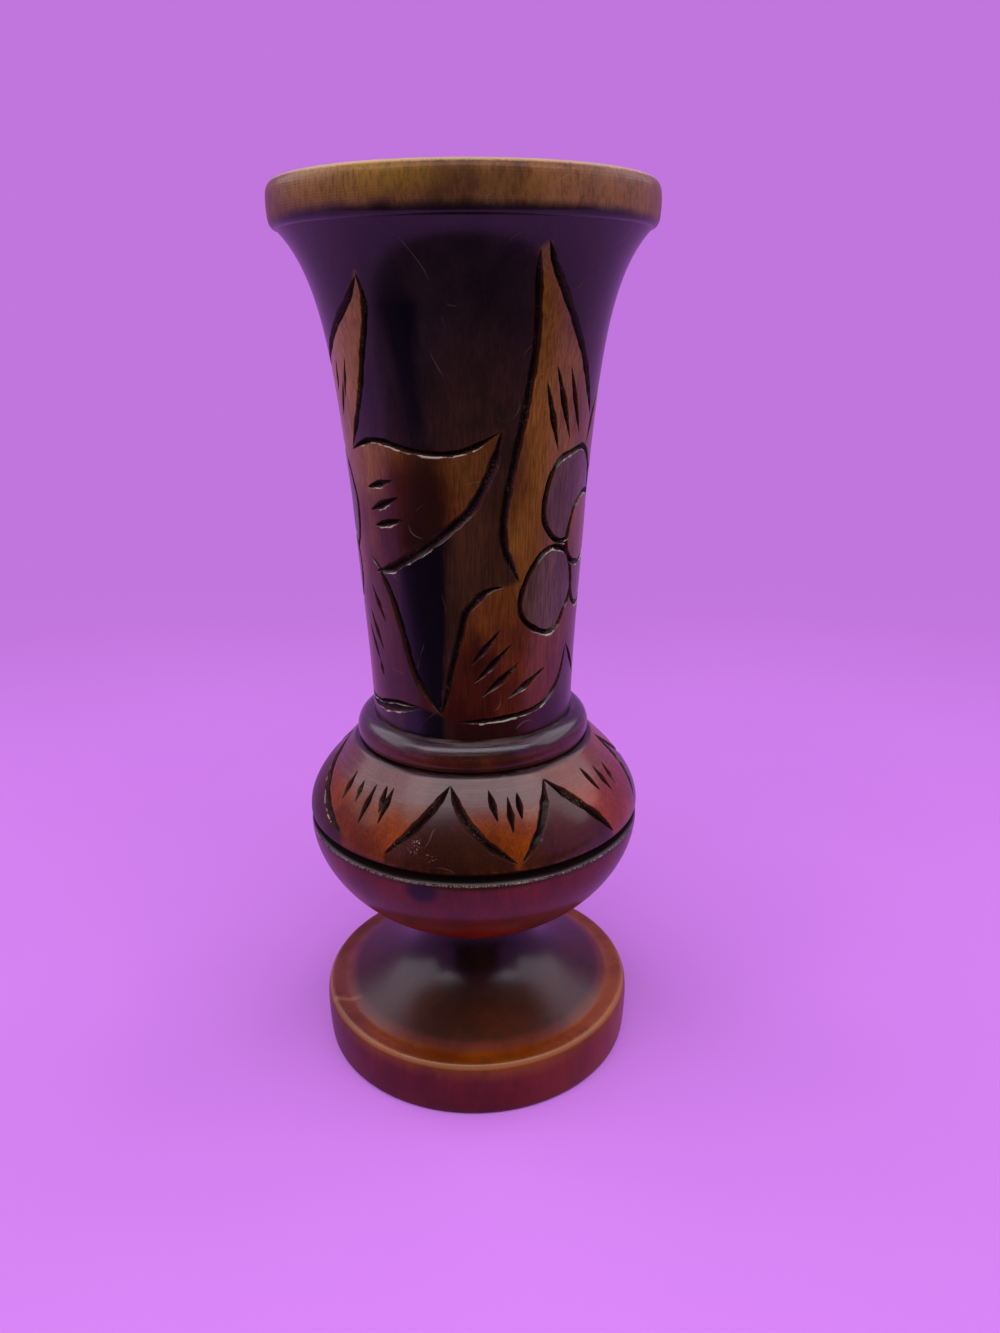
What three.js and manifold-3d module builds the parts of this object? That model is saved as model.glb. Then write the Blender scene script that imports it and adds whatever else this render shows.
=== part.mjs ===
// Turned wooden vase on a pedestal foot, in millimetres, +Z up, standing on z = 0.
// Five glued turnings share one axis: foot, lower belly, upper belly, collar ring and neck.
// Each piece is drawn as half a section (radius, height above its own seat) and revolved.
// The vase is open only at the mouth, and the bore runs down into the hollow belly.
// Leaves and flowers are cut into the neck with a knife, and a zigzag into the upper belly.
import * as THREE from "three";
import { mergeVertices, toCreasedNormals } from "three/addons/utils/BufferGeometryUtils.js";
import Module from "manifold-3d";

const wasm = await Module();
wasm.setup();

// Facets round the axis, a multiple of four so that the full radii lie on X and Y.
const turns = 48;
const sweepSteps = 9;
const cornerSteps = 4;
const edgeSteps = 3;

// The square stock that rim, belly and foot are turned from: each comes close to its
// full radius, less what is turned away there.
const blankRadius = 40.2;
const bellyTurnedAway = 0.1;
const footTurnedAway = 0.8;

// Glue films: between faces that rest on each other, and round each spigot or tenon.
const glueFilm = 0.1;
const spigotClearance = 0.2;

// Foot: a flat disc whose top is hollowed up into a narrow waist, with a tenon above.
const footDiscHeight = 14;
const footEdgeRound = 2;
const footBaseRound = 0.8;
const footLipWidth = 5;
const waistRadius = 13;
const waistHeight = 20.2;
const coveLeave = { out: 10.7, up: 4.5 };
const coveArrive = 13.5;
const tenonRadius = 8;
const tenonLength = 7;
const tenonEndClearance = 0.5;

// Belly: an oblate hollow ball in two cups, parted at its widest line under a groove.
const lowerBellyHeight = 29.7;
const upperBellyHeight = 18.1;
const shoulderRadius = 28.8;
const bowlLeave = { out: 14.6, up: 3 };
const bowlArrive = 11.8;
const domeLeave = 5.9;
const domeArrive = { out: 4.9, down: 5.4 };
const bellyWall = 11;
const bellyFloor = 12.5;
const hollowCorner = 12;
const grooveDepth = 1.5;
const grooveHalfWidth = 1.3;
const tongueThickness = 4;
const tongueHeight = 3;

// Collar ring: a half-round bead that covers the seam between belly and neck.
const ringHeight = 7;
const beadReach = 4.1;
const beadUndercut = 2.2;
const beadUndercutHeight = 2.9;

// Neck: a slow taper that flares into a plain rim band, bored right through.
const neckHeight = 113.6;
const neckBaseRadius = 23.65;
const taperRise = 50.7;
const taperSpread = 2.6;
const flareLeave = { out: 2.4, up: 27 };
const flareArrive = { in: 8.6, down: 9 };
const rimBandHeight = 9;
const rimOverhang = 1.7;
const rimEdgeRound = 1.4;
const rimWall = 7;
const neckShoulder = 3.6;
const spigotWall = 4.2;
const spigotReach = 9;
const throatSpread = 2.6;
const throatLeave = { out: 2.7, up: 27 };
const mouthArrive = { in: 7, down: 7.6 };

// The knife's V cuts, and the length of the straight pieces that make up a curved one.
const cutHalfWidth = 0.9;
const cutDepth = 0.95;
const leafCutStep = 7.5;
const petalCutStep = 5.5;

// The cutter stands proud of the wall by this much, and its pointed ends by less.
const cutterRise = 0.5;
const cutterTipRise = 0.15;

// One spray of the neck: five leaves round a flower, cut twice round the neck. A point of a
// stroke is [degrees from the flower's middle, hundredths of the way up to the rim band].
const sprayTurns = [-104, 72];
const leafStrokes = [
  // The leaf that rises to the right of the flower: its upper edge, then its lower one.
  [[-7, 59.5], [1, 67.5], [15, 73], [41, 81], [59, 87.5], [66, 91.5]],
  [[66, 91.5], [64, 83], [56, 72], [42, 59]],
  // The leaf that points right.
  [[41, 59], [59, 62], [83, 60], [97, 60], [118, 64]],
  [[118, 64], [110, 53], [95, 45.5], [75, 39], [62, 36], [51, 35]],
  // The leaf that hangs to the right: outer edge, foot and inner edge.
  [[53, 36], [61, 31], [68, 21.5], [75, 12], [87, 5.5]],
  [[76, 6.5], [57, 6], [39, 4.5], [20, 5.5], [7, 8]],
  [[7, 8], [-3, 13], [-12, 18]],
  // The tall leaf to the left: its upper edge, then its outer one.
  [[-5, 65.5], [-18, 76], [-36, 88], [-47, 96.5]],
  [[-49, 95], [-46, 79], [-49, 66], [-56, 50], [-57, 45], [-52, 37], [-48, 34]],
  // The leaf that hangs to the left: outer edge and foot.
  [[-56, 33], [-66, 32], [-75, 28], [-81, 18.5], [-89, 5]],
  [[-80, 4], [-50, 4.5], [-30, 6.5], [-18, 10.5], [-12, 17.5]],
];

// The flower's petals and its heart, as ovals in the same units. Arcs run anticlockwise in
// degrees, and a petal has none where another one lies over it. A whole oval has two.
const wholeOval = [[-15, 195], [165, 375]];
const petals = [
  { middle: [19, 48], reach: [19, 11.5], arcs: [[-55, 155]] },
  { middle: [19, 34], reach: [13, 8], arcs: [[-125, 95]] },
  { middle: [1, 33.5], reach: [15, 8], arcs: [[-165, 35]] },
  { middle: [-16, 50], reach: [20, 9.5], arcs: [[5, 265]] },
  { middle: [-30, 31], reach: [18, 9], arcs: wholeOval },
  { middle: [0, 42.5], reach: [19, 7.5], arcs: wholeOval },
];

// The zigzag of the upper cup. From each peak two cuts fall to the groove, and a cut may
// bow sideways in its middle. All are in degrees round the belly.
const zigzagTop = 94;
const zigzagFoot = 11;
const zigzag = [
  { peak: -95, feet: [-122, -48], bows: [1, -1] },
  { peak: -10, feet: [-30, 13], bows: [0, -2] },
  { peak: 30, feet: [14, 52], bows: [1, 2] },
  { peak: 84, feet: [75, 112], bows: [3, -1] },
  { peak: 140, feet: [118, 168], bows: [1, 1] },
  { peak: 210, feet: [184, 234], bows: [-1, -1] },
];

// Sizes that follow from the ones above, so that what fits together stays together.
const rimRadius = blankRadius;
const bellyRadius = blankRadius - bellyTurnedAway;
const footRadius = blankRadius - footTurnedAway;
const spigotRadius = neckBaseRadius - neckShoulder;
const socketRadius = spigotRadius + spigotClearance;
const boreRadius = spigotRadius - spigotWall;
const mouthRadius = rimRadius - rimWall;
const cavityRadius = bellyRadius - bellyWall;
const tongueRadius = cavityRadius + tongueThickness;
const spigotLength = spigotReach + ringHeight + 2 * glueFilm;

// Heights at which the pieces sit, stacked from the floor up.
const bellySeat = footDiscHeight + waistHeight + glueFilm;
const partingSeat = bellySeat + lowerBellyHeight + glueFilm;
const ringSeat = partingSeat + upperBellyHeight + glueFilm;
const neckSeat = ringSeat + ringHeight + glueFilm;

const point = (radius, height) => new THREE.Vector2(radius, height);

// A smooth stretch from one point to another. Two offsets from its ends pull the curve.
function sweep(from, leave, arrive, to, steps = sweepSteps) {
  const curve = new THREE.CubicBezierCurve(
    from, from.clone().add(leave), to.clone().add(arrive), to,
  );
  return curve.getPoints(steps);
}

// A quarter of an ellipse from a start angle: anticlockwise rounds an outer corner, and
// clockwise hollows an inner one.
function quarter(centre, radii, startDegrees, steps, clockwise = false) {
  const start = THREE.MathUtils.degToRad(startDegrees);
  const end = start + (clockwise ? -1 : 1) * (Math.PI / 2);
  return new THREE.EllipseCurve(
    centre.x, centre.y, radii.x, radii.y, start, end, clockwise, 0,
  ).getPoints(steps);
}

// A rounded outer edge whose corner would lie at the given point.
function roundedEdge(corner, radius, startDegrees) {
  const inward = startDegrees === 90 ? 1 : -1;
  const upward = startDegrees === -90 ? 1 : -1;
  const centre = point(corner.x + inward * radius, corner.y + upward * radius);
  return quarter(centre, point(radius, radius), startDegrees, edgeSteps);
}

// Drops points that repeat the one before them, as where two stretches meet.
function withoutRepeats(points) {
  const nearest = 1e-4;
  return points.filter((p, i) => i === 0 || p.distanceTo(points[i - 1]) > nearest);
}

// A turned piece from its half section, drawn anticlockwise, and the height of its seat.
function turned(name, material, section, seat) {
  const outline = withoutRepeats(section);
  const startsOnAxis = outline[0].x === 0;
  if (!startsOnAxis) outline.push(outline[0].clone());
  const geometry = new THREE.LatheGeometry(outline, turns);
  geometry.rotateX(Math.PI / 2);
  const mesh = new THREE.Mesh(geometry, material);
  mesh.name = name;
  mesh.position.z = seat;
  return mesh;
}

// Where a place on a wall lies, given as degrees round it and hundredths of its height, and
// which way is out of the wall there. The wall is the outer stretch of a turned section.
function onWall(wall, degrees, hundredths) {
  const height = THREE.MathUtils.lerp(wall[0].y, wall.at(-1).y, hundredths / 100);
  const above = Math.max(1, wall.findIndex((p) => p.y >= height));
  const [low, high] = [wall[above - 1], wall[above]];
  const radius = THREE.MathUtils.mapLinear(height, low.y, high.y, low.x, high.x);
  const rise = high.clone().sub(low).normalize();
  const angle = THREE.MathUtils.degToRad(degrees);
  const outward = new THREE.Vector3(Math.sin(angle), -Math.cos(angle), 0);
  return {
    place: outward.clone().multiplyScalar(radius).setZ(height),
    out: outward.clone().multiplyScalar(rise.y).setZ(-rise.x),
  };
}

// A closed geometry as a solid that can be cut.
function toSolid(geometry) {
  const bare = geometry.clone();
  bare.deleteAttribute("normal");
  bare.deleteAttribute("uv");
  const merged = mergeVertices(bare);
  return new wasm.Manifold(new wasm.Mesh({
    numProp: 3,
    vertProperties: new Float32Array(merged.attributes.position.array),
    triVerts: new Uint32Array(merged.index.array),
  }));
}

// The geometry of a cut solid, with crisp edges.
function toGeometry(solid) {
  const { vertProperties, triVerts } = solid.getMesh();
  const geometry = new THREE.BufferGeometry();
  geometry.setAttribute("position", new THREE.BufferAttribute(vertProperties, 3));
  geometry.setIndex(new THREE.BufferAttribute(triVerts, 1));
  return toCreasedNormals(geometry, Math.PI / 6);
}

// What one stroke of the knife takes away: a V along a smooth line through the points, which
// follows the wall and comes to a point at both ends.
function knifeStroke(wall, points, step) {
  const height = wall.at(-1).y - wall[0].y;
  const perDegree = THREE.MathUtils.degToRad(wall[0].x);
  const perHundredth = height / 100;
  const line = new THREE.CatmullRomCurve3(
    points.map(([a, h]) => new THREE.Vector3(a * perDegree, h * perHundredth, 0)),
  );
  const steps = Math.max(2, Math.round(line.getLength() / step));
  const spots = line.getSpacedPoints(steps)
    .map((p) => onWall(wall, p.x / perDegree, p.y / perHundredth));

  const topHalfWidth = cutHalfWidth * (1 + cutterRise / cutDepth);
  const rows = spots.slice(1, -1).map(({ place, out }, i) => {
    const along = spots[i + 2].place.clone().sub(spots[i].place).normalize();
    const aside = out.clone().cross(along).normalize();
    return [
      place.clone().addScaledVector(out, cutterRise).addScaledVector(aside, topHalfWidth),
      place.clone().addScaledVector(out, -cutDepth),
      place.clone().addScaledVector(out, cutterRise).addScaledVector(aside, -topHalfWidth),
    ];
  });
  const tips = [spots[0], spots.at(-1)]
    .map(({ place, out }) => place.clone().addScaledVector(out, cutterTipRise));

  const faces = [];
  const sides = [[0, 1], [1, 2], [2, 0]];
  for (const [a, b] of sides) {
    faces.push([tips[0], rows[0][a], rows[0][b]]);
    for (let i = 0; i + 1 < rows.length; i += 1) {
      const [near, far] = [rows[i], rows[i + 1]];
      faces.push([near[a], far[a], near[b]], [near[b], far[a], far[b]]);
    }
    faces.push([rows.at(-1)[a], tips[1], rows.at(-1)[b]]);
  }
  return toSolid(new THREE.BufferGeometry().setFromPoints(faces.flat()));
}

// The stretch of an oval between two angles in degrees, as points that a stroke runs through.
function ovalArc([x, y], [reachX, reachY], [from, to]) {
  const spacing = 30;
  const count = Math.round((to - from) / spacing);
  return Array.from({ length: count + 1 }, (_, i) => {
    const angle = THREE.MathUtils.degToRad(from + ((to - from) * i) / count);
    return [x + reachX * Math.cos(angle), y + reachY * Math.sin(angle)];
  });
}

// All strokes of the neck's two sprays.
function sprayCuts(wall) {
  const petalStrokes = petals.flatMap(
    ({ middle, reach, arcs }) => arcs.map((arc) => ovalArc(middle, reach, arc)),
  );
  return sprayTurns.flatMap((turn) => {
    const turnedTo = (stroke) => stroke.map(([a, h]) => [a + turn, h]);
    return [
      ...leafStrokes.map((stroke) => knifeStroke(wall, turnedTo(stroke), leafCutStep)),
      ...petalStrokes.map((stroke) => knifeStroke(wall, turnedTo(stroke), petalCutStep)),
    ];
  });
}

// All strokes of the belly's zigzag.
function zigzagCuts(wall) {
  return zigzag.flatMap(({ peak, feet, bows }) => feet.map((foot, i) => {
    const middle = [(peak + foot) / 2 + bows[i], (zigzagTop + zigzagFoot) / 2];
    const stroke = [[peak, zigzagTop], middle, [foot, zigzagFoot]];
    return knifeStroke(wall, stroke, leafCutStep);
  }));
}

// Takes all strokes out of a turned piece.
function carve(piece, cuts) {
  const carved = cuts.reduce((rest, cut) => rest.subtract(cut), toSolid(piece.geometry));
  piece.geometry = toGeometry(carved);
  return piece;
}

// The foot: disc, flat lip, hollow cove up to the waist, and a tenon on top.
function footSection() {
  const lip = point(footRadius - footLipWidth, footDiscHeight);
  const waistTop = point(waistRadius, footDiscHeight + waistHeight);
  return [
    point(0, 0),
    ...roundedEdge(point(footRadius, 0), footBaseRound, -90),
    ...roundedEdge(point(footRadius, footDiscHeight), footEdgeRound, 0),
    ...sweep(lip, point(-coveLeave.out, coveLeave.up), point(0, -coveArrive), waistTop),
    point(tenonRadius, waistTop.y),
    point(tenonRadius, waistTop.y + tenonLength),
    point(0, waistTop.y + tenonLength),
  ];
}

// The lower cup: mortise for the foot, round outside, groove bevel, tongue and hollow.
function lowerBellySection() {
  const mortiseRadius = tenonRadius + spigotClearance;
  const mortiseDepth = tenonLength + tenonEndClearance;
  const parting = lowerBellyHeight;
  const widest = point(bellyRadius, parting - grooveHalfWidth);
  const cornerCentre = point(cavityRadius - hollowCorner, bellyFloor + hollowCorner);
  return [
    point(0, mortiseDepth),
    point(mortiseRadius, mortiseDepth),
    point(mortiseRadius, 0),
    ...sweep(
      point(waistRadius, 0), point(bowlLeave.out, bowlLeave.up), point(0, -bowlArrive), widest,
    ),
    point(bellyRadius - grooveDepth, parting),
    point(tongueRadius, parting),
    point(tongueRadius, parting + tongueHeight),
    point(cavityRadius, parting + tongueHeight),
    ...quarter(cornerCentre, point(hollowCorner, hollowCorner), 0, cornerSteps, true),
    point(0, bellyFloor),
  ];
}

// The outside of the upper cup, from the groove up to its round shoulder.
function upperBellyWall() {
  const widest = point(bellyRadius, grooveHalfWidth);
  const shoulder = point(shoulderRadius, upperBellyHeight);
  return sweep(widest, point(0, domeLeave), point(domeArrive.out, -domeArrive.down), shoulder);
}

// The upper cup: groove bevel, round shoulder, flat seat for the ring, socket and hollow.
function upperBellySection() {
  const recess = point(tongueRadius + spigotClearance, tongueHeight + spigotClearance);
  const socketFoot = upperBellyHeight - spigotReach;
  const vault = point(cavityRadius - socketRadius, socketFoot - recess.y);
  return [
    point(recess.x, 0),
    point(bellyRadius - grooveDepth, 0),
    ...upperBellyWall(),
    point(socketRadius, upperBellyHeight),
    ...quarter(point(socketRadius, recess.y), vault, 90, cornerSteps, true),
    recess,
  ];
}

// The collar ring: flat seats above and below, a half-round bead between them.
function ringSection() {
  const foot = point(neckBaseRadius + beadReach - beadUndercut, beadUndercutHeight);
  const crown = point(neckBaseRadius, beadUndercutHeight);
  return [
    point(socketRadius, 0),
    ...quarter(foot, point(beadUndercut, beadUndercutHeight), -90, cornerSteps),
    ...quarter(crown, point(beadReach, ringHeight - beadUndercutHeight), 0, cornerSteps + 1),
    point(socketRadius, ringHeight),
  ];
}

// The outside of the neck up to the rim band: a slow taper and a flare.
function neckWall() {
  const taperTop = point(neckBaseRadius + taperSpread, taperRise);
  const bandFoot = point(rimRadius - rimOverhang, neckHeight - rimBandHeight);
  return [
    point(neckBaseRadius, 0),
    ...sweep(
      taperTop,
      point(flareLeave.out, flareLeave.up),
      point(-flareArrive.in, -flareArrive.down),
      bandFoot,
    ),
  ];
}

// The neck: spigot, shoulder, carved wall, rim band, and the bore that follows them.
function neckSection() {
  const bandFoot = neckHeight - rimBandHeight;
  const throat = point(boreRadius + throatSpread, taperRise);
  const mouth = point(mouthRadius, neckHeight - rimEdgeRound);
  return [
    point(boreRadius, -spigotLength),
    point(spigotRadius, -spigotLength),
    point(spigotRadius, 0),
    ...neckWall(),
    ...roundedEdge(point(rimRadius, bandFoot), rimEdgeRound, -90).slice(1),
    ...roundedEdge(point(rimRadius, neckHeight), rimEdgeRound, 0),
    ...roundedEdge(point(mouthRadius, neckHeight), rimEdgeRound, 90),
    ...sweep(
      mouth,
      point(-mouthArrive.in, -mouthArrive.down),
      point(throatLeave.out, throatLeave.up),
      throat,
    ),
  ];
}

// Stained and lacquered hardwood: the neck ground is the darkest, the foot the warmest.
function stainedWood(colour, roughness) {
  return new THREE.MeshStandardMaterial({ color: colour, roughness, metalness: 0 });
}

const vase = new THREE.Group();
vase.add(
  turned("foot", stainedWood(0x6e3414, 0.3), footSection(), 0),
  turned("belly_lower", stainedWood(0x6a2c1c, 0.3), lowerBellySection(), bellySeat),
  carve(
    turned("belly_upper", stainedWood(0x7c3f12, 0.35), upperBellySection(), partingSeat),
    zigzagCuts(upperBellyWall()),
  ),
  turned("collar_ring", stainedWood(0x3f1f14, 0.28), ringSection(), ringSeat),
  carve(
    turned("neck", stainedWood(0x4a2a1c, 0.35), neckSection(), neckSeat),
    sprayCuts(neckWall()),
  ),
);

export default vase;
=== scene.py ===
# %% [markdown] # A turned and carved wooden vase  The vase is five turnings glued together
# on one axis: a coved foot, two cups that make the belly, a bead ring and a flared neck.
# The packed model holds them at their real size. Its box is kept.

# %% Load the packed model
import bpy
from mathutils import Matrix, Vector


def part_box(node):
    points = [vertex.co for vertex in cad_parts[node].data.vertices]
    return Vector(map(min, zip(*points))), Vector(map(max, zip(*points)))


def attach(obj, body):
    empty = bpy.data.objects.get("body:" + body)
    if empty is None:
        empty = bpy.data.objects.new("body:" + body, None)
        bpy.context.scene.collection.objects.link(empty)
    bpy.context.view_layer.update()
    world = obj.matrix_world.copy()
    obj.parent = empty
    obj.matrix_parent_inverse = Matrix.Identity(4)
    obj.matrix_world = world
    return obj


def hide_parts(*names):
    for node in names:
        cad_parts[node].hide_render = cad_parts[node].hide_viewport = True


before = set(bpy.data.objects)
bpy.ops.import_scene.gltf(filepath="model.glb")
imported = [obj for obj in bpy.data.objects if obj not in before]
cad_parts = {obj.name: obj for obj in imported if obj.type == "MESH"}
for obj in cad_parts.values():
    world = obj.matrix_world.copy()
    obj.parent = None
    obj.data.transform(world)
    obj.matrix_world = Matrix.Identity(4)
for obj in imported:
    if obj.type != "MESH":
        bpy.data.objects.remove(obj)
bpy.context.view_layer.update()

import copy
import math
from collections import namedtuple

import bmesh
import bpy
import numpy as np
from mathutils import Matrix, Vector
from mathutils.geometry import delaunay_2d_cdt

print("nodes:", sorted(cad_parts))

# %% [markdown]
# ## Sizes
#
# Blender works in metres, but a vase is easier to think of in millimetres. Each node's box
# says where that piece starts and ends along the axis and how wide it is, so those numbers
# are read from the frame and not typed again. What a box can't tell, such as the width of
# the neck at its foot, is named here.

# %% Read each piece's place and width
MM = 0.001
TINY = 1e-12
Span = namedtuple("Span", "low high radius")


def span(node):
    """Lowest and highest height and the radius of a CAD node, in millimetres."""
    low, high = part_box(node)
    return Span(low.z / MM, high.z / MM, high.x / MM)


foot, bowl, shoulder = span("foot"), span("belly_lower"), span("belly_upper")
ring, neck = span("collar_ring"), span("neck")

GLUE_FILM = 0.1
parting = shoulder.low - GLUE_FILM
neck_seat = ring.high + GLUE_FILM
neck_foot_radius = 23.65
bore_radius = 15.85
spigot_radius = 20.05
socket_radius = 20.25
spans = {"foot": foot, "bowl": bowl, "shoulder": shoulder, "ring": ring, "neck": neck}
for name, piece in spans.items():
    print(f"{name:9s}{piece.low:7.1f} to {piece.high:6.1f} mm, radius {piece.radius:.1f} mm")

# %% [markdown]
# ## Drawing a section
#
# A turner thinks in half sections: a line of (radius, height) points that goes round once.
# A few helpers draw it, a smooth stretch with two pulling handles (a cubic Bezier curve)
# and a quarter round. `revolve` then turns a section about the axis into a grid of quads.
# Azimuth 0 is the side that faces the camera, -Y, and it grows towards +X.

# %% Section and lathe helpers
def stretch(start, leave, arrive, end, steps=16):
    """A smooth stretch; the offsets leave and arrive pull the curve at its two ends."""
    a, d = np.array(start, float), np.array(end, float)
    b, c = a + leave, d + arrive
    t = np.linspace(0, 1, steps + 1)[:, None]
    return (1 - t) ** 3 * a + 3 * t * (1 - t) ** 2 * b + 3 * t**2 * (1 - t) * c + t**3 * d


def quarter(centre, radii, start, steps=6, turn=90):
    """A quarter of an ellipse from a start angle in degrees; turn=-90 goes clockwise."""
    angle = np.radians(start + np.linspace(0, turn, steps + 1))
    across, up = radii[0] * np.cos(angle), radii[1] * np.sin(angle)
    return np.stack([centre[0] + across, centre[1] + up], -1)


def section(*stretches):
    """One polyline from several stretches and points."""
    return np.concatenate([np.atleast_2d(np.array(s, float)) for s in stretches])


def place(azimuth, radius, height):
    """Points in metres from azimuths in degrees and radii and heights in millimetres."""
    a = np.radians(azimuth)
    x, y, z = np.broadcast_arrays(radius * np.sin(a), -radius * np.cos(a), height)
    return np.stack([x, y, z], -1) * MM


def revolve(line, columns, start=0.0):
    """Points and quads of a section line turned once about the axis."""
    azimuth = start + np.arange(columns) * 360 / columns
    points = place(azimuth[None, :], line[:, :1], line[:, 1:]).reshape(-1, 3)
    row, col = np.meshgrid(np.arange(len(line) - 1), np.arange(columns), indexing="ij")
    after = (col + 1) % columns
    quads = np.stack([row * columns + col, row * columns + after,
                      (row + 1) * columns + after, (row + 1) * columns + col], -1)
    return points, quads.reshape(-1, 4)


print("a 240-column revolve of a 10-point line:", len(revolve(np.ones((10, 2)), 240)[1]), "quads")

# %% [markdown]
# ## Unrolling a wall
#
# The carving is drawn on the outside of the neck and of the belly's upper cup. It is easier
# to draw on paper, so the wall is unrolled: x runs round it and y runs up its section, both
# in millimetres. The paper starts and ends at a seam at the back. The neck flares, so a
# millimetre of x is wider near the rim than at its foot, and `stretch_at` gives that
# factor. `solid` rolls flat points up again and sinks them below the surface by the depth
# of the cut.

# %% The unrolled wall
class Wall:
    """The outside of a turned piece, unrolled flat round a reference radius."""

    def __init__(self, line, reference, columns, start):
        self.radii, self.heights = line.T
        steps = np.hypot(np.diff(self.radii), np.diff(self.heights))
        self.ys = np.concatenate([[0], np.cumsum(steps)])
        self.lean_out = np.gradient(self.radii, self.ys)
        self.lean_up = np.gradient(self.heights, self.ys)
        self.reference, self.columns, self.start = reference, columns, start
        self.girth = 2 * math.pi * reference

    def flat(self, azimuth, height):
        """The flat point at an azimuth and a height."""
        x = np.radians(azimuth) * self.reference
        return np.stack(np.broadcast_arrays(x, np.interp(height, self.heights, self.ys)), -1)

    def stretch_at(self, y):
        """How much longer a millimetre of x is on the wall than on the paper."""
        return np.interp(y, self.ys, self.radii) / self.reference

    def solid(self, flat, depth):
        """Points in metres of flat points that are sunk by a depth in millimetres."""
        x, y = flat.T
        radius, height = np.interp(y, self.ys, self.radii), np.interp(y, self.ys, self.heights)
        radius = radius - depth * np.interp(y, self.ys, self.lean_up)
        height = height + depth * np.interp(y, self.ys, self.lean_out)
        return place(np.degrees(x / self.reference), radius, height)


taper_top = (26.25, 140.1)
band_foot = (38.5, neck.high - 9)
neck_outside = section(
    stretch((neck_foot_radius, neck_seat), (0.0, 14), (-0.75, -16), taper_top, 30),
    stretch(taper_top, (2.4, 27), (-8.6, -9), band_foot, 40)[1:],
)
SEAM = -180.0
NECK_COLUMNS, DOME_COLUMNS, PLAIN_COLUMNS = 240, 320, 256
neck_wall = Wall(neck_outside, reference=25.0, columns=NECK_COLUMNS, start=SEAM)

groove_half_width, groove_depth = 1.3, 1.5
shoulder_radius = 28.8
dome = stretch(
    (shoulder.radius, shoulder.low + groove_half_width), (0, 5.9), (4.9, -5.4),
    (shoulder_radius, shoulder.high), 40,
)
dome_wall = Wall(dome, reference=36.0, columns=DOME_COLUMNS, start=SEAM)
for name, wall in (("neck", neck_wall), ("dome", dome_wall)):
    print(f"{name} wall, unrolled: {wall.girth:.0f} x {wall.ys[-1]:.0f} mm")

# %% [markdown]
# ## A smooth line
#
# Every stroke of the carving follows a smooth line through a few points. A centripetal
# Catmull-Rom spline passes through its points without overshooting. It is resampled at even
# steps, so that a place on it can be told by counting steps.

# %% A smooth line
SAMPLE, SPLINE_STEPS = 0.42, 12


def smooth(points, closed=False):
    """A smooth line through flat points, resampled every SAMPLE millimetres."""
    p = np.array(points, float)
    if closed:
        chain = np.concatenate([p[-1:], p, p[:2]])
    else:
        chain = np.concatenate([[2 * p[0] - p[1]], p, [2 * p[-1] - p[-2]]])
    pieces = []
    for a, b, c, d in zip(chain, chain[1:], chain[2:], chain[3:]):
        knots = np.cumsum([0] + [math.dist(q, r) ** 0.5 for q, r in ((a, b), (b, c), (c, d))])
        t = np.linspace(knots[1], knots[2], SPLINE_STEPS, endpoint=False)[:, None]

        def between(q, r, i, j):
            return (q * (knots[j] - t) + r * (t - knots[i])) / (knots[j] - knots[i])

        first, second, third = between(a, b, 0, 1), between(b, c, 1, 2), between(c, d, 2, 3)
        pieces.append(between(between(first, second, 0, 2), between(second, third, 1, 3), 1, 2))
    line = np.concatenate(pieces + [p[:1] if closed else p[-1:]])
    along = np.concatenate([[0], np.cumsum(np.hypot(*np.diff(line, axis=0).T))])
    even = np.linspace(0, along[-1], max(4, round(along[-1] / SAMPLE)) + 1)
    return np.stack([np.interp(even, along, line[:, 0]), np.interp(even, along, line[:, 1])], -1)


print("a line through three points:", len(smooth([(0, 0), (6, 3), (12, 0)])), "samples")

# %% [markdown]
# ## A knife cut
#
# The pattern on such vases is cut by hand with a V-shaped knife: each cut starts and ends
# in a thin point, wavers a little and is deepest in its middle. A cut could be only a bump
# in the material, but it would vanish at the outline and in the exported mesh, so it is
# modelled. It is a smooth line on the unrolled wall with a half-width at every sample.

# %% A knife cut
POINT_SHARPNESS = 0.7
UNEVENNESS, WAVER_LENGTH = 0.18, 1.3
# Waves of hand unevenness: how fast each runs along the cut, and how strong it is.
WAVES = [(1.0, 1.0), (1.7, 1.0), (3.1, 0.6)]


def waver(length, seed, scale):
    """Smooth, repeatable hand unevenness along a line, about -1 to 1."""
    at = np.arange(length) * SAMPLE / scale
    phases = np.random.default_rng(seed).uniform(0, 6.28, 3)
    waves = [strength * np.sin(speed * at + phase) for (speed, strength), phase in zip(WAVES, phases)]
    return sum(waves) / sum(strength for _, strength in WAVES)


class Cut:
    """A knife cut along a line, with its half-width and depth at every point."""

    def __init__(self, line, width, depth, taper, pointed=(True, True), seed=0):
        self.line, self.depth, self.pointed = line, depth, pointed
        steps = np.hypot(*np.diff(line, axis=0).T)
        along = np.concatenate([[0], np.cumsum(steps)])
        room = np.full(len(line), np.inf)
        if pointed[0]:
            room = np.minimum(room, along)
        if pointed[1]:
            room = np.minimum(room, along[-1] - along)
        thin = np.clip(room / taper, 0, 1) ** POINT_SHARPNESS
        self.half = width / 2 * thin * (1 + UNEVENNESS * waver(len(line), seed, WAVER_LENGTH))

    def moved(self, x):
        """The same cut a full turn away, for the far side of the seam."""
        twin = copy.copy(self)
        twin.line = self.line + (x, 0)
        return twin


trial_cut = Cut(smooth([(0, 20), (12, 26)]), width=2, depth=1, taper=5)
print(f"a 2 mm cut is {2 * trial_cut.half.max():.2f} mm wide at its widest")

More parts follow.
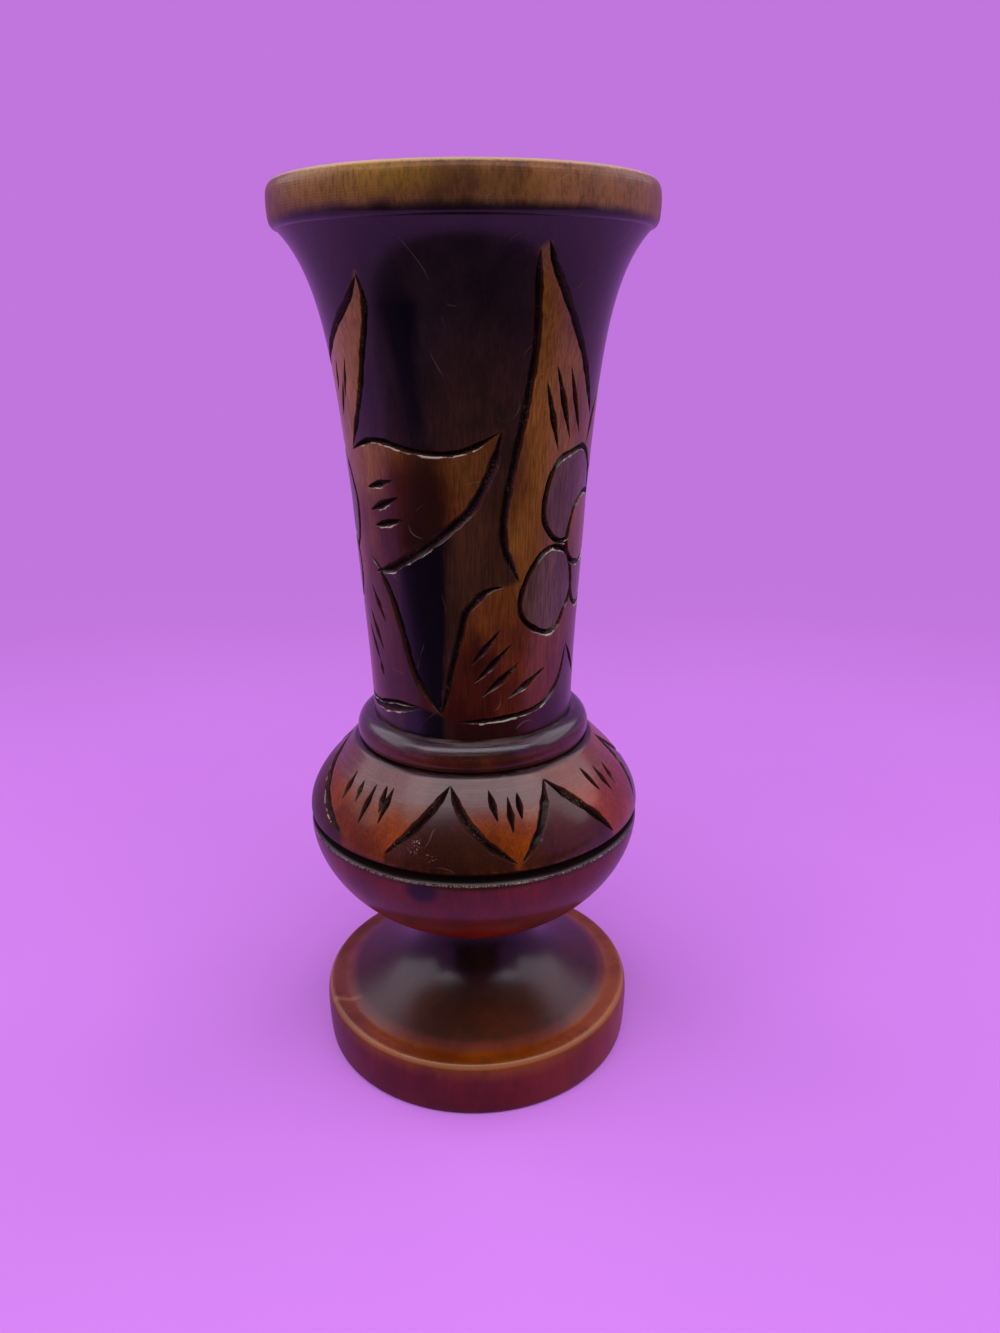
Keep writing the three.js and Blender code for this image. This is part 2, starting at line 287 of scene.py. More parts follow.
# %% [markdown]
# ## How deep the knife went
#
# Each vertex of a wall will be sunk by the depth of the cuts over it. Where two cuts cross,
# the deeper one wins, so they blend as real ones do. `share` says how deep a vertex lies
# for its own cut, which the stain follows, and it fades where a cut gets hair-thin. `torn`
# marks the lower side of level cuts, where the knife runs across the grain, tears it and
# leaves pale, rough wood.

# %% Depth of the cuts
# Across a cut, in shares of its half-width: how deep it is, and how torn its lower lip.
WALL_AT, WALL_DEPTH = (0, 0.5, 0.97), (1, 0.62, 0)
TORN_AT, TORN_SHARE = (0.5, 0.85, 1.05, 1.3), (0, 1, 1, 0)
# A cut reaches its full depth at this share of its widest half-width, and its full stain at
# this half-width in millimetres. Nothing farther off than REACH half-widths is touched.
FULL_DEPTH_FROM, FULL_STAIN_FROM, REACH = 0.8, 0.3, 1.6


def true_gap(wall, points, line):
    """Offsets of points from the nearest place on a line, where on it that is, and its step."""
    scale = np.stack([wall.stretch_at(points[:, 1]), np.ones(len(points))], -1)[:, None, :]
    start, step = line[:-1][None], np.diff(line, axis=0)[None] * scale
    offset = (points[:, None, :] - start) * scale
    share = np.clip((offset * step).sum(-1) / np.maximum((step**2).sum(-1), TINY), 0, 1)
    gaps = offset - share[..., None] * step
    nearest = np.argmin((gaps**2).sum(-1), axis=1)
    rows = np.arange(len(points))
    return gaps[rows, nearest], nearest + share[rows, nearest], step[rows, nearest]


def near(points, line, margin):
    """Which points lie in the box round a line."""
    low, high = line.min(0) - margin, line.max(0) + margin
    return np.where(((points > low) & (points < high)).all(1))[0]


def carve(wall, points, cuts):
    """Depth in millimetres at flat points, how deep that is for its cut, and how torn."""
    depth, share, torn = np.zeros(len(points)), np.zeros(len(points)), np.zeros(len(points))
    for cut in cuts:
        close = near(points, cut.line, cut.half.max() * REACH)
        if not len(close):
            continue
        gap, where, step = true_gap(wall, points[close], cut.line)
        half = np.interp(where, np.arange(len(cut.line)), cut.half)
        side = np.hypot(*gap.T) / np.maximum(half, TINY)
        slope = np.interp(side, WALL_AT, WALL_DEPTH)
        full = np.minimum(1.0, half / (cut.half.max() * FULL_DEPTH_FROM))
        depth[close] = np.maximum(depth[close], cut.depth * full * slope)
        share[close] = np.maximum(share[close], slope * np.minimum(1, half / FULL_STAIN_FROM))
        level = np.abs(step[:, 0]) / np.maximum(np.hypot(*step.T), TINY)
        below = (gap[:, 1] < 0) & (side < TORN_AT[-1])
        lip = below * np.interp(side, TORN_AT, TORN_SHARE) * level**2 * full
        torn[close] = np.maximum(torn[close], lip)
    return depth, share, torn


print("halfway up a cut's side:", WALL_DEPTH[1], "of its depth")

# %% [markdown]
# ## Meshing a carved wall
#
# A regular grid would turn the crisp edges of the cuts into stairs. Here every cut gives
# the mesh five lines to follow: its bottom, one halfway up each side and its two edges. A
# cut that crosses the seam is drawn a second time a full turn away, and both are trimmed
# exactly at the seam.

# %% Lines that the mesh follows
# Each side line runs at a share of the half-width, where that is above a least one.
EDGE, HALFWAY = 1.0, 0.5
SIDE_LINES = ((EDGE, 0.12), (HALFWAY, 0.3))


def cut_rows(wall, cut):
    """The five lines that the mesh follows along a cut."""
    step = np.gradient(cut.line, axis=0)
    scale = wall.stretch_at(cut.line[:, 1])
    along = np.stack([step[:, 0] * scale, step[:, 1]], -1)
    along /= np.maximum(np.hypot(*along.T), TINY)[:, None]
    across = np.stack([-along[:, 1] / scale, along[:, 0]], -1)
    rows = [cut.line]
    for side, least in SIDE_LINES:
        wide = cut.half > least
        if wide.sum() < 2:
            continue
        for sign in (1, -1):
            row = (cut.line + sign * side * cut.half[:, None] * across)[wide]
            if side == EDGE and cut.pointed[0]:
                row = np.concatenate([cut.line[:1], row])
            if side == EDGE and cut.pointed[1]:
                row = np.concatenate([row, cut.line[-1:]])
            rows.append(row)
    return rows


def clipped(row, x_low, x_high):
    """The stretches of a flat line between the two sides of the seam, cut exactly there."""
    for seam in (x_low, x_high):
        ahead = row[:, 0] - seam
        crossing = np.where(ahead[:-1] * ahead[1:] < 0)[0]
        share = ahead[crossing] / (ahead[crossing] - ahead[crossing + 1])
        height = row[crossing, 1] + share * (row[crossing + 1, 1] - row[crossing, 1])
        on_seam = np.stack([np.full(len(height), seam), height], -1)
        row = np.insert(row, crossing + 1, on_seam, axis=0)
    middle = (row[:-1, 0] + row[1:, 0]) / 2
    kept = (middle > x_low) & (middle < x_high)
    ends = np.flatnonzero(np.diff(np.concatenate([[0], kept, [0]])))
    return [row[first:last + 1] for first, last in zip(ends[::2], ends[1::2])]


print("points of that cut's five lines:", sum(len(row) for row in cut_rows(neck_wall, trial_cut)))

# %% [markdown]
# ### Filling the wall with triangles
#
# The wall's border and its cuts go into a constrained Delaunay triangulation, which keeps
# their lines as edges. A grid of points fills the plain wood between them with triangles
# that are nearly equal-sided. Points too close to a cut are left out, as they would only
# make slivers.

# %% The triangulated wall
GRID = 0.62
CLEAR_OF_CUTS, SEARCH_MARGIN, SEAM_MARGIN = 0.28, 1, 3
MERGE_FLAT = 1e-5


def carved_patch(wall, bottom, top, cuts):
    """Flat vertices, triangles and carving of the wall between two heights."""
    y_low, y_high = np.interp([bottom, top], wall.heights, wall.ys)
    x_low = math.radians(wall.start) * wall.reference
    x_high = x_low + wall.girth
    both = cuts + [c.moved(s * wall.girth) for c in cuts for s in (-1, 1)]
    both = [c for c in both if c.line[:, 0].max() > x_low - SEAM_MARGIN
            and c.line[:, 0].min() < x_high + SEAM_MARGIN]

    xs = np.linspace(x_low, x_high, wall.columns + 1)
    ys = np.linspace(y_low, y_high, max(2, round((y_high - y_low) / GRID)) + 1)
    half_pitch = (xs[1] - xs[0]) / 2
    grid = np.array([(x + (half_pitch if j % 2 else 0), y)
                     for j, y in enumerate(ys[1:-1]) for x in xs[1:-1 - j % 2]])
    clear = np.ones(len(grid), bool)
    for cut in both:
        close = near(grid, cut.line, cut.half.max() + SEARCH_MARGIN)
        if len(close):
            gap, where, _ = true_gap(wall, grid[close], cut.line)
            half = np.interp(where, np.arange(len(cut.line)), cut.half)
            clear[close] &= np.hypot(*gap.T) > half + CLEAR_OF_CUTS
    border = ([(x, y_low) for x in xs] + [(x_high, y) for y in ys[1:-1]]
              + [(x, y_high) for x in xs[::-1]] + [(x_low, y) for y in ys[-2:0:-1]])
    points = border + list(map(tuple, grid[clear]))
    edges = [(i, (i + 1) % len(border)) for i in range(len(border))]
    for cut in both:
        for row in cut_rows(wall, cut):
            for piece in clipped(row, x_low, x_high):
                edges += [(len(points) + i, len(points) + i + 1) for i in range(len(piece) - 1)]
                points += list(map(tuple, piece))
    found = delaunay_2d_cdt([Vector(p) for p in points], edges, [], 0, MERGE_FLAT, False)
    flat = np.array([tuple(v) for v in found[0]])
    return flat, np.array(found[2]), carve(wall, flat, both)


print("rows of triangles on the neck:", round(neck_wall.ys[-1] / GRID))

# %% [markdown]
# ## The neck's pattern
#
# The neck carries two sprays, nearly opposite each other, each a five-petalled flower with
# five long leaves. Such leaf and flower carving is a traditional pattern on these vases,
# so it is redrawn as the photograph shows it. A leaf is two or three long strokes whose
# ends run out under the flower, and a petal is a closed ring of short ones. For its stain,
# a leaf also keeps the hidden line that would close it.

# %% Leaves and petals
PETAL_STROKE = 1.45
Shape = namedtuple("Shape", "kind strokes hidden closed")
Stroke = namedtuple("Stroke", "width points")


def leaf(*strokes, hidden):
    """A leaf: knife strokes of their own widths, closed by a line that petals will cover."""
    return Shape("leaf", [Stroke(width, points) for width, points in strokes], hidden, False)


def petal(*corners, kind="petal"):
    """A petal, cut as a ring of short strokes from corner to corner."""
    return Shape(kind, [Stroke(PETAL_STROKE, list(corners))], [], True)


def oval_petal(azimuth, height, wide, tall, corners=9):
    """A petal on an uneven oval, its half-sizes in degrees and in millimetres."""
    angle = np.arange(corners) * 2 * math.pi / corners
    uneven = 1 + 0.05 * np.cos(3 * angle + height)
    across, up = wide * uneven * np.cos(angle), tall * uneven * np.sin(angle)
    return petal(*zip(azimuth + across, height + up))


print("an oval petal has", len(oval_petal(0, 0, 10, 10).strokes[0].points), "corners")

# %% [markdown]
# ### One spray
#
# Only one side of each spray can be seen, and together they show every leaf once, so one
# spray is drawn in azimuths from its flower's middle and used twice. Leaves come first,
# then petals, then the flower's heart, and a cut stops where a later shape covers it.

# %% One spray of leaves round a flower
SPRAY = [
    leaf((1.9, [(-7, 151.5), (1, 160), (15, 165.5), (30, 170.5), (41, 174.3), (49, 177.2), (59, 181),
                (65.5, 184.8)]),
         (1.8, [(65.7, 185.5), (66.2, 181), (64.4, 176.7), (60, 170.9), (56, 164.9), (50, 158.5),
                (41.5, 151.5)]),
         hidden=[(20, 140), (0, 140)]),
    leaf((1.35, [(40.5, 151.3), (50, 153), (59, 154), (66, 153.8), (73, 153), (83, 152.2), (96, 152),
                 (104.7, 153), (112, 154.7), (118, 156.4)]),
         (2.3, [(117.8, 156.4), (114.5, 150), (109.6, 144.8), (104, 140.5), (95, 136.8), (86, 133.5),
                (75, 130.4), (62, 127.2), (51, 125.8)]),
         hidden=[(20, 128), (20, 148)]),
    leaf((1.9, [(53, 127.5), (60.7, 121.8), (64.8, 116.7), (67.8, 112), (70.6, 106.8), (75, 102),
                (81, 98.6), (87.5, 95)]),
         (1.2, [(76, 96.2), (57, 95.9), (39, 94.2), (20, 95), (7, 98)]),
         (1.5, [(7, 98), (-3, 103), (-12, 108)]),
         hidden=[(-5, 118), (20, 126)]),
    leaf((1.9, [(-5.5, 158), (-11.8, 163.5), (-18, 169), (-27.5, 175.8), (-35.7, 181.5), (-42.5, 186.3),
                (-46.8, 190.4)]),
         (2.2, [(-49, 189), (-47.8, 184.4), (-46.6, 180), (-45.5, 172), (-46.8, 165.7), (-49, 158.4),
                (-52.4, 150.5), (-56, 141.5), (-57, 136.6), (-55.9, 132), (-52, 128), (-48.4, 125)]),
         hidden=[(-35, 120), (-14, 132), (-5, 145)]),
    leaf((2.0, [(-56, 124.2), (-61.5, 123.9), (-66, 123), (-71, 120.8), (-75, 118.6), (-77.8, 114),
                (-81, 108.6), (-84, 103.6), (-86.8, 98.2), (-89.2, 94.8)]),
         (1.35, [(-80, 93.6), (-65.4, 93.8), (-50.4, 94.3), (-39, 94.8), (-29.6, 96), (-18, 100.4),
                 (-12, 107.6)]),
         hidden=[(-5, 118), (-20, 130), (-48.4, 125)]),
    oval_petal(19, 139.5, 19, 12),
    oval_petal(19, 125, 13, 8.5),
    oval_petal(1, 124.5, 15, 8.2),
    petal((-19.5, 151), (-28, 149.8), (-32.5, 147.3), (-35.5, 143), (-36, 138), (-32.8, 135),
          (-26, 132.5), (-10, 133), (2, 137), (4, 143), (-2, 149), (-10, 151.6)),
    petal((-29, 131.4), (-35.8, 130.4), (-42.4, 127), (-46.6, 122.6), (-47.6, 119), (-45, 116.2),
          (-39, 114), (-29, 112.4), (-22, 113.6), (-17.5, 116.6), (-12, 119.8), (-12.7, 124.5),
          (-17.7, 129.4)),
    petal((11, 140), (-2, 141.6), (-11.8, 139.7), (-16.5, 136.2), (-19, 131.3), (-16, 128.4),
          (-7.8, 126.3), (5, 127), (15, 130), (18, 135), kind="heart"),
]
SPRAY_TURNS = (-104, 72)
print(len(SPRAY), "shapes in one spray")

# %% [markdown]
# ### Gouge marks
#
# Rows of short gouge marks fill the leaves as veins would, each pressed in with the same
# knife. A wide, flat scoop runs below one leaf of each spray.

# %% Gouge marks and the scoop
# Azimuth and height of each mark's start and end, and its width.
SPRAY_NICKS = [
    ((38, 169.5), (33, 162.5), 1.6), ((42, 165.5), (35, 158), 1.6), ((47.5, 170), (41, 161.5), 1.4),
    ((51, 144), (68.5, 146.2), 2.0), ((51.5, 139.2), (71, 142.8), 2.1), ((53.5, 136), (73, 138.2), 2.0),
    ((45, 122.5), (55, 114.5), 1.6), ((40, 116.4), (51, 107.3), 1.7), ((36, 112.7), (46, 104.2), 1.6),
    ((45.5, 104.7), (48, 101), 1.4), ((47.6, 129), (57, 126.2), 1.1),
    ((-39.3, 165.6), (-30, 151.5), 1.9), ((-34.7, 168.4), (-22.8, 153.5), 2.0),
    ((-27, 168.2), (-15.8, 154.5), 1.8),
    ((-73, 106.8), (-57.5, 114.8), 1.8), ((-71, 102.8), (-51.5, 111.3), 2.0),
    ((-67.5, 99.4), (-46.5, 107), 2.0), ((-53.5, 98.6), (-30.5, 104.3), 2.0),
]
SPRAY_SCOOP = [(26, 93.0), (34, 93.1), (50, 94.1), (64, 95.0), (76, 96.0)]
print(len(SPRAY_NICKS), "gouge marks in one spray")

# %% [markdown]
# ### Stain fields
#
# Each shape becomes a closed outline on the flat wall, for its stain. `inside` tells which
# vertices an outline holds, by counting how often a ray to the right crosses it. `field`
# turns that into a soft mask, because stain laid by hand never ends in a hard edge.

# %% Which points a shape holds
FEATHER = 0.4


def inside(points, outline):
    """Which flat points lie in a closed outline."""
    held = np.zeros(len(points), bool)
    px, py = points.T
    for (x0, y0), (x1, y1) in zip(outline, np.roll(outline, -1, axis=0)):
        crosses = (y0 > py) != (y1 > py)
        if crosses.any():
            at = x0 + (py - y0) * (x1 - x0) / ((y1 - y0) or TINY)
            held ^= crosses & (px < at)
    return held


def field(wall, points, outline):
    """A mask of the flat points: 1 in an outline, 0 outside, with a feathered edge."""
    mask = np.zeros(len(points))
    loop = np.concatenate([outline, outline[:1]])
    for shift in (-wall.girth, 0, wall.girth):
        moved = loop + (shift, 0)
        close = near(points, moved, FEATHER)
        if len(close):
            held = np.where(inside(points[close], moved[:-1]), 1, -1)
            gap = np.hypot(*true_gap(wall, points[close], moved)[0].T)
            mask[close] = np.maximum(mask[close], np.clip(0.5 + held * gap / FEATHER / 2, 0, 1))
    return mask


print("a stain's edge is feathered over", FEATHER, "mm")

# %% [markdown]
# ### Strokes in sight
#
# The strokes of a shape are the cuts that the knife made, and the line that closes a leaf
# is only there for its stain. A stroke is cut where no later shape covers it. An end that
# a petal covers stays blunt, and a free end runs out in a point.

# %% Strokes and outlines
OUTLINE_EVERY = 3
SHORTEST_RUN = 3


def outline_of(wall, shape, turn):
    """A shape's smooth strokes and its whole outline on the flat wall."""
    def flatten(points):
        azimuth, height = np.array(points, float).T
        return wall.flat(azimuth + turn, height)

    strokes = [smooth(flatten(s.points), shape.closed) for s in shape.strokes]
    hidden = [flatten(shape.hidden)] if shape.hidden else []
    return strokes, np.concatenate([line[::OUTLINE_EVERY] for line in strokes] + hidden)


def visible_runs(wall, line, covers):
    """The stretches of a line that no later outline holds, and which of their ends are free."""
    hidden = np.zeros(len(line), bool)
    for cover in covers:
        for shift in (-wall.girth, 0, wall.girth):
            hidden |= inside(line + (shift, 0), cover)
    runs, first = [], None
    for i, covered in enumerate(list(hidden) + [True]):
        if not covered and first is None:
            first = i
        if covered and first is not None:
            if i - first > SHORTEST_RUN:
                runs.append((line[first:i], (first == 0, i == len(line))))
            first = None
    return runs


print("strokes in one spray:", sum(len(shape.strokes) for shape in SPRAY))

# %% [markdown]
# ### Cutting the neck
#
# Both sprays are cut with the same knife: strokes along the outlines, short gouge marks
# inside the leaves, and one wide, flat scoop. Every cut has its own seed, so each wavers in
# its own way.

# %% Cuts of the neck
STROKE_DEPTH, STROKE_TAPER = 0.95, 6
NICK_DEPTH = 0.8
SCOOP_WIDTH, SCOOP_DEPTH, SCOOP_TAPER, SCOOP_SEED = 2.6, 0.7, 10, 3
SEEDS_PER_SHAPE = 7


def nick(wall, start, end, width, depth, seed):
    """A gouge mark from one azimuth and height to another, widest in its middle."""
    line = smooth([wall.flat(*start), wall.flat(*end)])
    return Cut(line, width, depth, len(line) * SAMPLE / 2, seed=seed)


neck_cuts, neck_fields = [], []
placed = [(shape, *outline_of(neck_wall, shape, turn))
          for turn in SPRAY_TURNS for shape in SPRAY]
for index, (shape, strokes, outline) in enumerate(placed):
    neck_fields.append((shape.kind, outline))
    later = [o for s, _, o in placed[index + 1:] if s.kind != "leaf"]
    for number, (stroke, line) in enumerate(zip(shape.strokes, strokes)):
        for run, free in visible_runs(neck_wall, line, later):
            pointed = (free[0] and not shape.closed, free[1] and not shape.closed)
            seed = SEEDS_PER_SHAPE * index + number
            neck_cuts.append(Cut(run, stroke.width, STROKE_DEPTH, STROKE_TAPER, pointed, seed))
for turn in SPRAY_TURNS:
    for number, (start, end, width) in enumerate(SPRAY_NICKS):
        ends = [(azimuth + turn, height) for azimuth, height in (start, end)]
        neck_cuts.append(nick(neck_wall, *ends, width, NICK_DEPTH, number))
    scoop = smooth([neck_wall.flat(azimuth + turn, height) for azimuth, height in SPRAY_SCOOP])
    neck_cuts.append(Cut(scoop, SCOOP_WIDTH, SCOOP_DEPTH, SCOOP_TAPER, seed=SCOOP_SEED))
print(len(neck_cuts), "cuts in the neck")

# %% [markdown]
# ## The belly's pattern
#
# A zigzag runs round the upper cup. Pairs of cuts fall from each peak to the groove, and
# what lies between the two is stained dark, so the fields between peaks stay orange. Each
# orange field has three to five short nicks near its top. The photograph shows the front
# half, and the back half goes on at the same spacing.

# %% Zigzag and nicks of the belly
# Peak azimuth and height, then the feet of its left and right cut with each cut's bow.
PEAKS = [
    ((-95, 81.3), (-122, 67.3, 1.0), (-48, 67.6, -1.0)),
    ((-10, 81.2), (-30, 67.6, 0.3), (13.2, 66.9, -2.0)),
    ((30.5, 80.8), (14.4, 66.9, 0.9), (52, 66.6, 1.7)),
    ((84, 81.5), (74.5, 68.0, 3.0), (112, 67.0, -1.2)),
    ((140, 81.0), (118, 67.2, 0.8), (168, 67.0, 1.4)),
    ((210, 81.2), (184, 67.0, -1.0), (234, 67.2, -1.5)),
]
# Azimuth and height of a nick's start, then of its end.
BELLY_NICKS = [
    (-57.8, 79.5, -56, 73.6), (-50.4, 78.7, -48.8, 74.7), (-43, 79, -43, 71.6),
    (-37.8, 79.4, -36.2, 74.5), (-34.2, 79.4, -35, 72.7),
    (5.7, 80.5, 8.1, 75), (13, 79.1, 12.9, 72.8), (17.1, 79.6, 16.8, 75),
    (51.4, 80.2, 54.4, 75), (59.6, 79.2, 60.9, 73.5), (67.5, 78.5, 65.5, 73.5),
    (101, 79.6, 99.5, 74.4), (108, 79, 107.5, 73), (114.5, 79.6, 116, 74.6),
    (163, 79.8, 165.5, 74.6), (171, 79, 172.4, 73), (178, 79.4, 177.6, 72.6), (185, 80, 184, 75),
    (231, 79.6, 233.6, 74.4), (239, 79.1, 240, 72.8), (247, 79.6, 246.4, 74.8),
]
print(len(PEAKS), "peaks and", len(BELLY_NICKS), "nicks")

# %% [markdown]
# ### Cutting the belly
#
# The two cuts of a peak are straight lines with a slight bow, drawn through four points
# each. Together they bound the dark field, which ends below the border of the carved wall.

# %% Cuts of the belly
ZIGZAG_WIDTH, ZIGZAG_DEPTH, ZIGZAG_SEED = 2.3, 1.05, 20
BELLY_NICK_WIDTH, BELLY_NICK_DEPTH = 1.9, 0.9
BOW_REACH, BELOW_BORDER = 1.3, 2
belly_cuts, belly_fields = [], []
for number, (peak, left, right) in enumerate(PEAKS):
    sides = []
    for foot_azimuth, foot_height, bow in (left, right):
        points = []
        for share in (0, 0.33, 0.67, 1):
            bowed = bow * math.sin(math.pi * share) * BOW_REACH
            azimuth = peak[0] + (foot_azimuth - peak[0]) * share + bowed
            height = peak[1] + (foot_height - peak[1]) * share
            points.append(dome_wall.flat(azimuth, height))
        sides.append(smooth(points))
        belly_cuts.append(Cut(sides[-1], ZIGZAG_WIDTH, ZIGZAG_DEPTH, STROKE_TAPER,
                              seed=number + ZIGZAG_SEED))
    base = dome_wall.flat(np.array([right[0], left[0]]), dome_wall.heights[0]) - (0, BELOW_BORDER)
    outline = [sides[0][::-OUTLINE_EVERY], sides[1][::OUTLINE_EVERY], base]
    belly_fields.append(("dark", np.concatenate(outline)))
for number, (a0, z0, a1, z1) in enumerate(BELLY_NICKS):
    belly_cuts.append(nick(dome_wall, (a0, z0), (a1, z1),
                           BELLY_NICK_WIDTH, BELLY_NICK_DEPTH, number))
print(len(belly_cuts), "cuts in the belly")

# %% [markdown]
# ## Building a piece
#
# A piece is one closed mesh: a carved patch where it has one, and a revolved section for the
# rest. They share their border points, so merging by distance closes the mesh. Masks for
# the materials are stored as point attributes on the mesh, which the shader reads by name.
# Edges sharper than 28 degrees are marked, so that cuts stay crisp under smooth shading.

# %% Assemble a closed mesh with its masks
MERGE = 5e-7
CREASE = math.radians(28)


def build(name, line, columns, start=0.0, patch=None, masks=None):
    """A mesh object from a revolved line and, where given, a carved patch with its masks."""
    points, faces = revolve(line, columns, start)
    plain, faces = len(points), faces.tolist()
    if patch is not None:
        faces = patch[1].tolist() + [[corner + len(patch[0]) for corner in face] for face in faces]
        points = np.concatenate([patch[0], points])
    mesh = bpy.data.meshes.new(name)
    mesh.from_pydata(points.tolist(), [], faces)
    for mask, values in (masks or {}).items():
        layer = mesh.attributes.new(mask, "FLOAT", "POINT")
        every = np.concatenate([values, np.zeros(plain)])
        layer.data.foreach_set("value", every.astype(np.float32))
    work = bmesh.new()
    work.from_mesh(mesh)
    bmesh.ops.remove_doubles(work, verts=work.verts, dist=MERGE)
    bmesh.ops.recalc_face_normals(work, faces=work.faces)
    open_edges = sum(not e.is_manifold for e in work.edges)
    work.to_mesh(mesh)
    work.free()
    mesh.shade_smooth()
    mesh.set_sharp_from_angle(angle=CREASE)
    piece = bpy.data.objects.new(name, mesh)
    bpy.context.scene.collection.objects.link(piece)
    print(f"{name}: {len(mesh.polygons)} faces, {open_edges} open edges")
    return piece


def stain_masks(wall, flat, fields, share, torn):
    """One mask for each kind of field, and the masks of the cuts."""
    masks = {"cut": share, "torn": torn}
    for kind, outline in fields:
        masks[kind] = np.maximum(masks.get(kind, 0), field(wall, flat, outline))
    return masks


print("points closer than", MERGE / MM, "mm are merged")

# %% [markdown]
# ## The neck
#
# The neck is one turning, bored right through. The carved patch covers its wall from the
# ring up to just under the rim. The rim band is slightly barrelled with soft edges, and
# inside it the throat narrows to the bore. Below the shoulder the neck goes on as a spigot,
# which is glued into the belly. One revolved section makes all that isn't carved.

# %% Neck
carve_low, carve_high = neck_seat + 1.0, neck.high - 10.6
flat, faces, (depth, share, torn) = carved_patch(neck_wall, carve_low, carve_high, neck_cuts)
neck_masks = stain_masks(neck_wall, flat, neck_fields, share, torn)

below = neck_outside[neck_outside[:, 1] < carve_low]
above = neck_outside[neck_outside[:, 1] > carve_high]
border_low = (np.interp(carve_low, neck_wall.heights, neck_wall.radii), carve_low)
border_high = (np.interp(carve_high, neck_wall.heights, neck_wall.radii), carve_high)
top, rim = neck.high, neck.radius
band_root = (38.7, band_foot[1] + 0.05)
band_low, band_high = (rim - 0.1, top - 6.1), (rim - 0.1, top - 2.4)
rim_edge = (rim - 2.2, top)
mouth_radius, mouth_round = 33.2, 1.5
throat = (18.45, taper_top[1])
seat_edge = (neck_foot_radius - 0.6, neck_seat)
neck_section = section(
    border_high, above,
    stretch(band_root, (0.9, 0.15), (0.0, -1.5), band_low, 8),
    stretch(band_low, (0.12, 1.0), (0.12, -1.0), band_high, 6)[1:],
    stretch(band_high, (-0.05, 1.2), (1.1, 0.0), rim_edge, 7)[1:],
    stretch(rim_edge, (-1.0, 0.0), (1.3, 0.0), (mouth_radius + mouth_round, top), 4)[1:],
    quarter((mouth_radius + mouth_round, top - mouth_round), (mouth_round, mouth_round), 90, 5)[1:],
    stretch((mouth_radius, top - mouth_round), (-7, -7.6), (2.7, 27), throat, 36)[1:],
    stretch(throat, (-0.6, -12), (0, 12), (bore_radius, neck.low), 20)[1:],
    (spigot_radius, neck.low), (spigot_radius, neck_seat), seat_edge,
    below, border_low,
)
neck_piece = build("vase_neck", neck_section, NECK_COLUMNS, SEAM,
                   (neck_wall.solid(flat, depth), faces), neck_masks)

# %% [markdown]
# ## The belly
#
# A belly can't be hollowed through such a narrow neck, so it is two cups that meet at the
# widest line, in a turned groove. The upper cup carries the zigzag, ends in a low lip just
# outside the ring and sits over a tongue on the lower cup.

# %% Upper cup
cavity_radius, tongue_radius = 29.1, 33.1
tongue_height, fit = 3.0, 0.2
dome_low, dome_high = dome[0][1], dome[-2][1]
flat, faces, (depth, share, torn) = carved_patch(dome_wall, dome_low, dome_high, belly_cuts)
dome_masks = stain_masks(dome_wall, flat, belly_fields, share, torn)
low_point = (np.interp(dome_low, dome_wall.heights, dome_wall.radii), dome_low)
high_point = (np.interp(dome_high, dome_wall.heights, dome_wall.radii), dome_high)
recess = (tongue_radius + fit, shoulder.low + tongue_height + fit)
socket_depth = 9
vault = (cavity_radius - socket_radius, shoulder.high - socket_depth - recess[1])
lip_start = (shoulder_radius, shoulder.high)
lip_crest = (shoulder_radius - 1.5, shoulder.high + 0.55)
lip_back = (shoulder_radius - 2.0, shoulder.high + 0.35)
groove_root = (shoulder.radius - groove_depth, shoulder.low)
groove_edge = (shoulder.radius - 0.35, shoulder.low + 0.95)
upper_section = section(
    high_point,
    stretch(lip_start, (-0.45, 0.4), (0.5, 0.0), lip_crest, 5),
    lip_back, (shoulder_radius - 2.2, shoulder.high), (socket_radius, shoulder.high),
    quarter((socket_radius, recess[1]), vault, 90, 10, turn=-90),
    recess, (recess[0], shoulder.low), groove_root,
    stretch(groove_root, (0.0, 0.6), (-0.5, 0.0), groove_edge, 4)[1:],
    low_point,
)
shoulder_piece = build("vase_shoulder", upper_section, DOME_COLUMNS, SEAM,
                       (dome_wall.solid(flat, depth), faces), dome_masks)

# %% [markdown]
# ### The lower cup
#
# The lower cup is a smooth bowl down to the waist. Its side of the groove is a worn,
# rounded lip, while the upper cup's side is steep. Inside it are the hollow and the tongue,
# and underneath a blind mortise takes the foot's tenon. A plain turning needs no more than
# its revolved section.

# %% Lower cup
waist_radius, tenon_radius = 13.0, 8.0
hollow_corner, hollow_floor = 12.0, bowl.low + 12.5
mortise_radius, mortise_top = tenon_radius + fit, bowl.low + 7.5
lip_foot, lip_edge = (bowl.radius, parting - 1.9), (bowl.radius - 0.4, parting - 1.15)
lower_section = section(
    (0, mortise_top), (mortise_radius, mortise_top), (mortise_radius, bowl.low),
    stretch((waist_radius, bowl.low), (14.6, 3), (0, -11.8), lip_foot, 44),
    stretch(lip_foot, (0, 0.5), (0.3, -0.2), lip_edge, 5)[1:],
    stretch(lip_edge, (-0.5, 0.3), (0.2, -0.3), (bowl.radius - groove_depth, parting), 5)[1:],
    (tongue_radius, parting), (tongue_radius, parting + tongue_height),
    (cavity_radius, parting + tongue_height),
    quarter((cavity_radius - hollow_corner, hollow_floor + hollow_corner),
            (hollow_corner, hollow_corner), 0, 10, turn=-90),
    (0, hollow_floor),
)
bowl_piece = build("vase_bowl", lower_section, PLAIN_COLUMNS)

# %% [markdown]
# ## The ring
#
# The ring is threaded over the neck's spigot and hides the seam between neck and belly. It
# is a half-round bead with an undercut, which leaves a dark line against the belly. A torus
# would come close, but it is round all over, and this bead has a straight bore and flat
# faces to be glued to, so it is revolved as well.

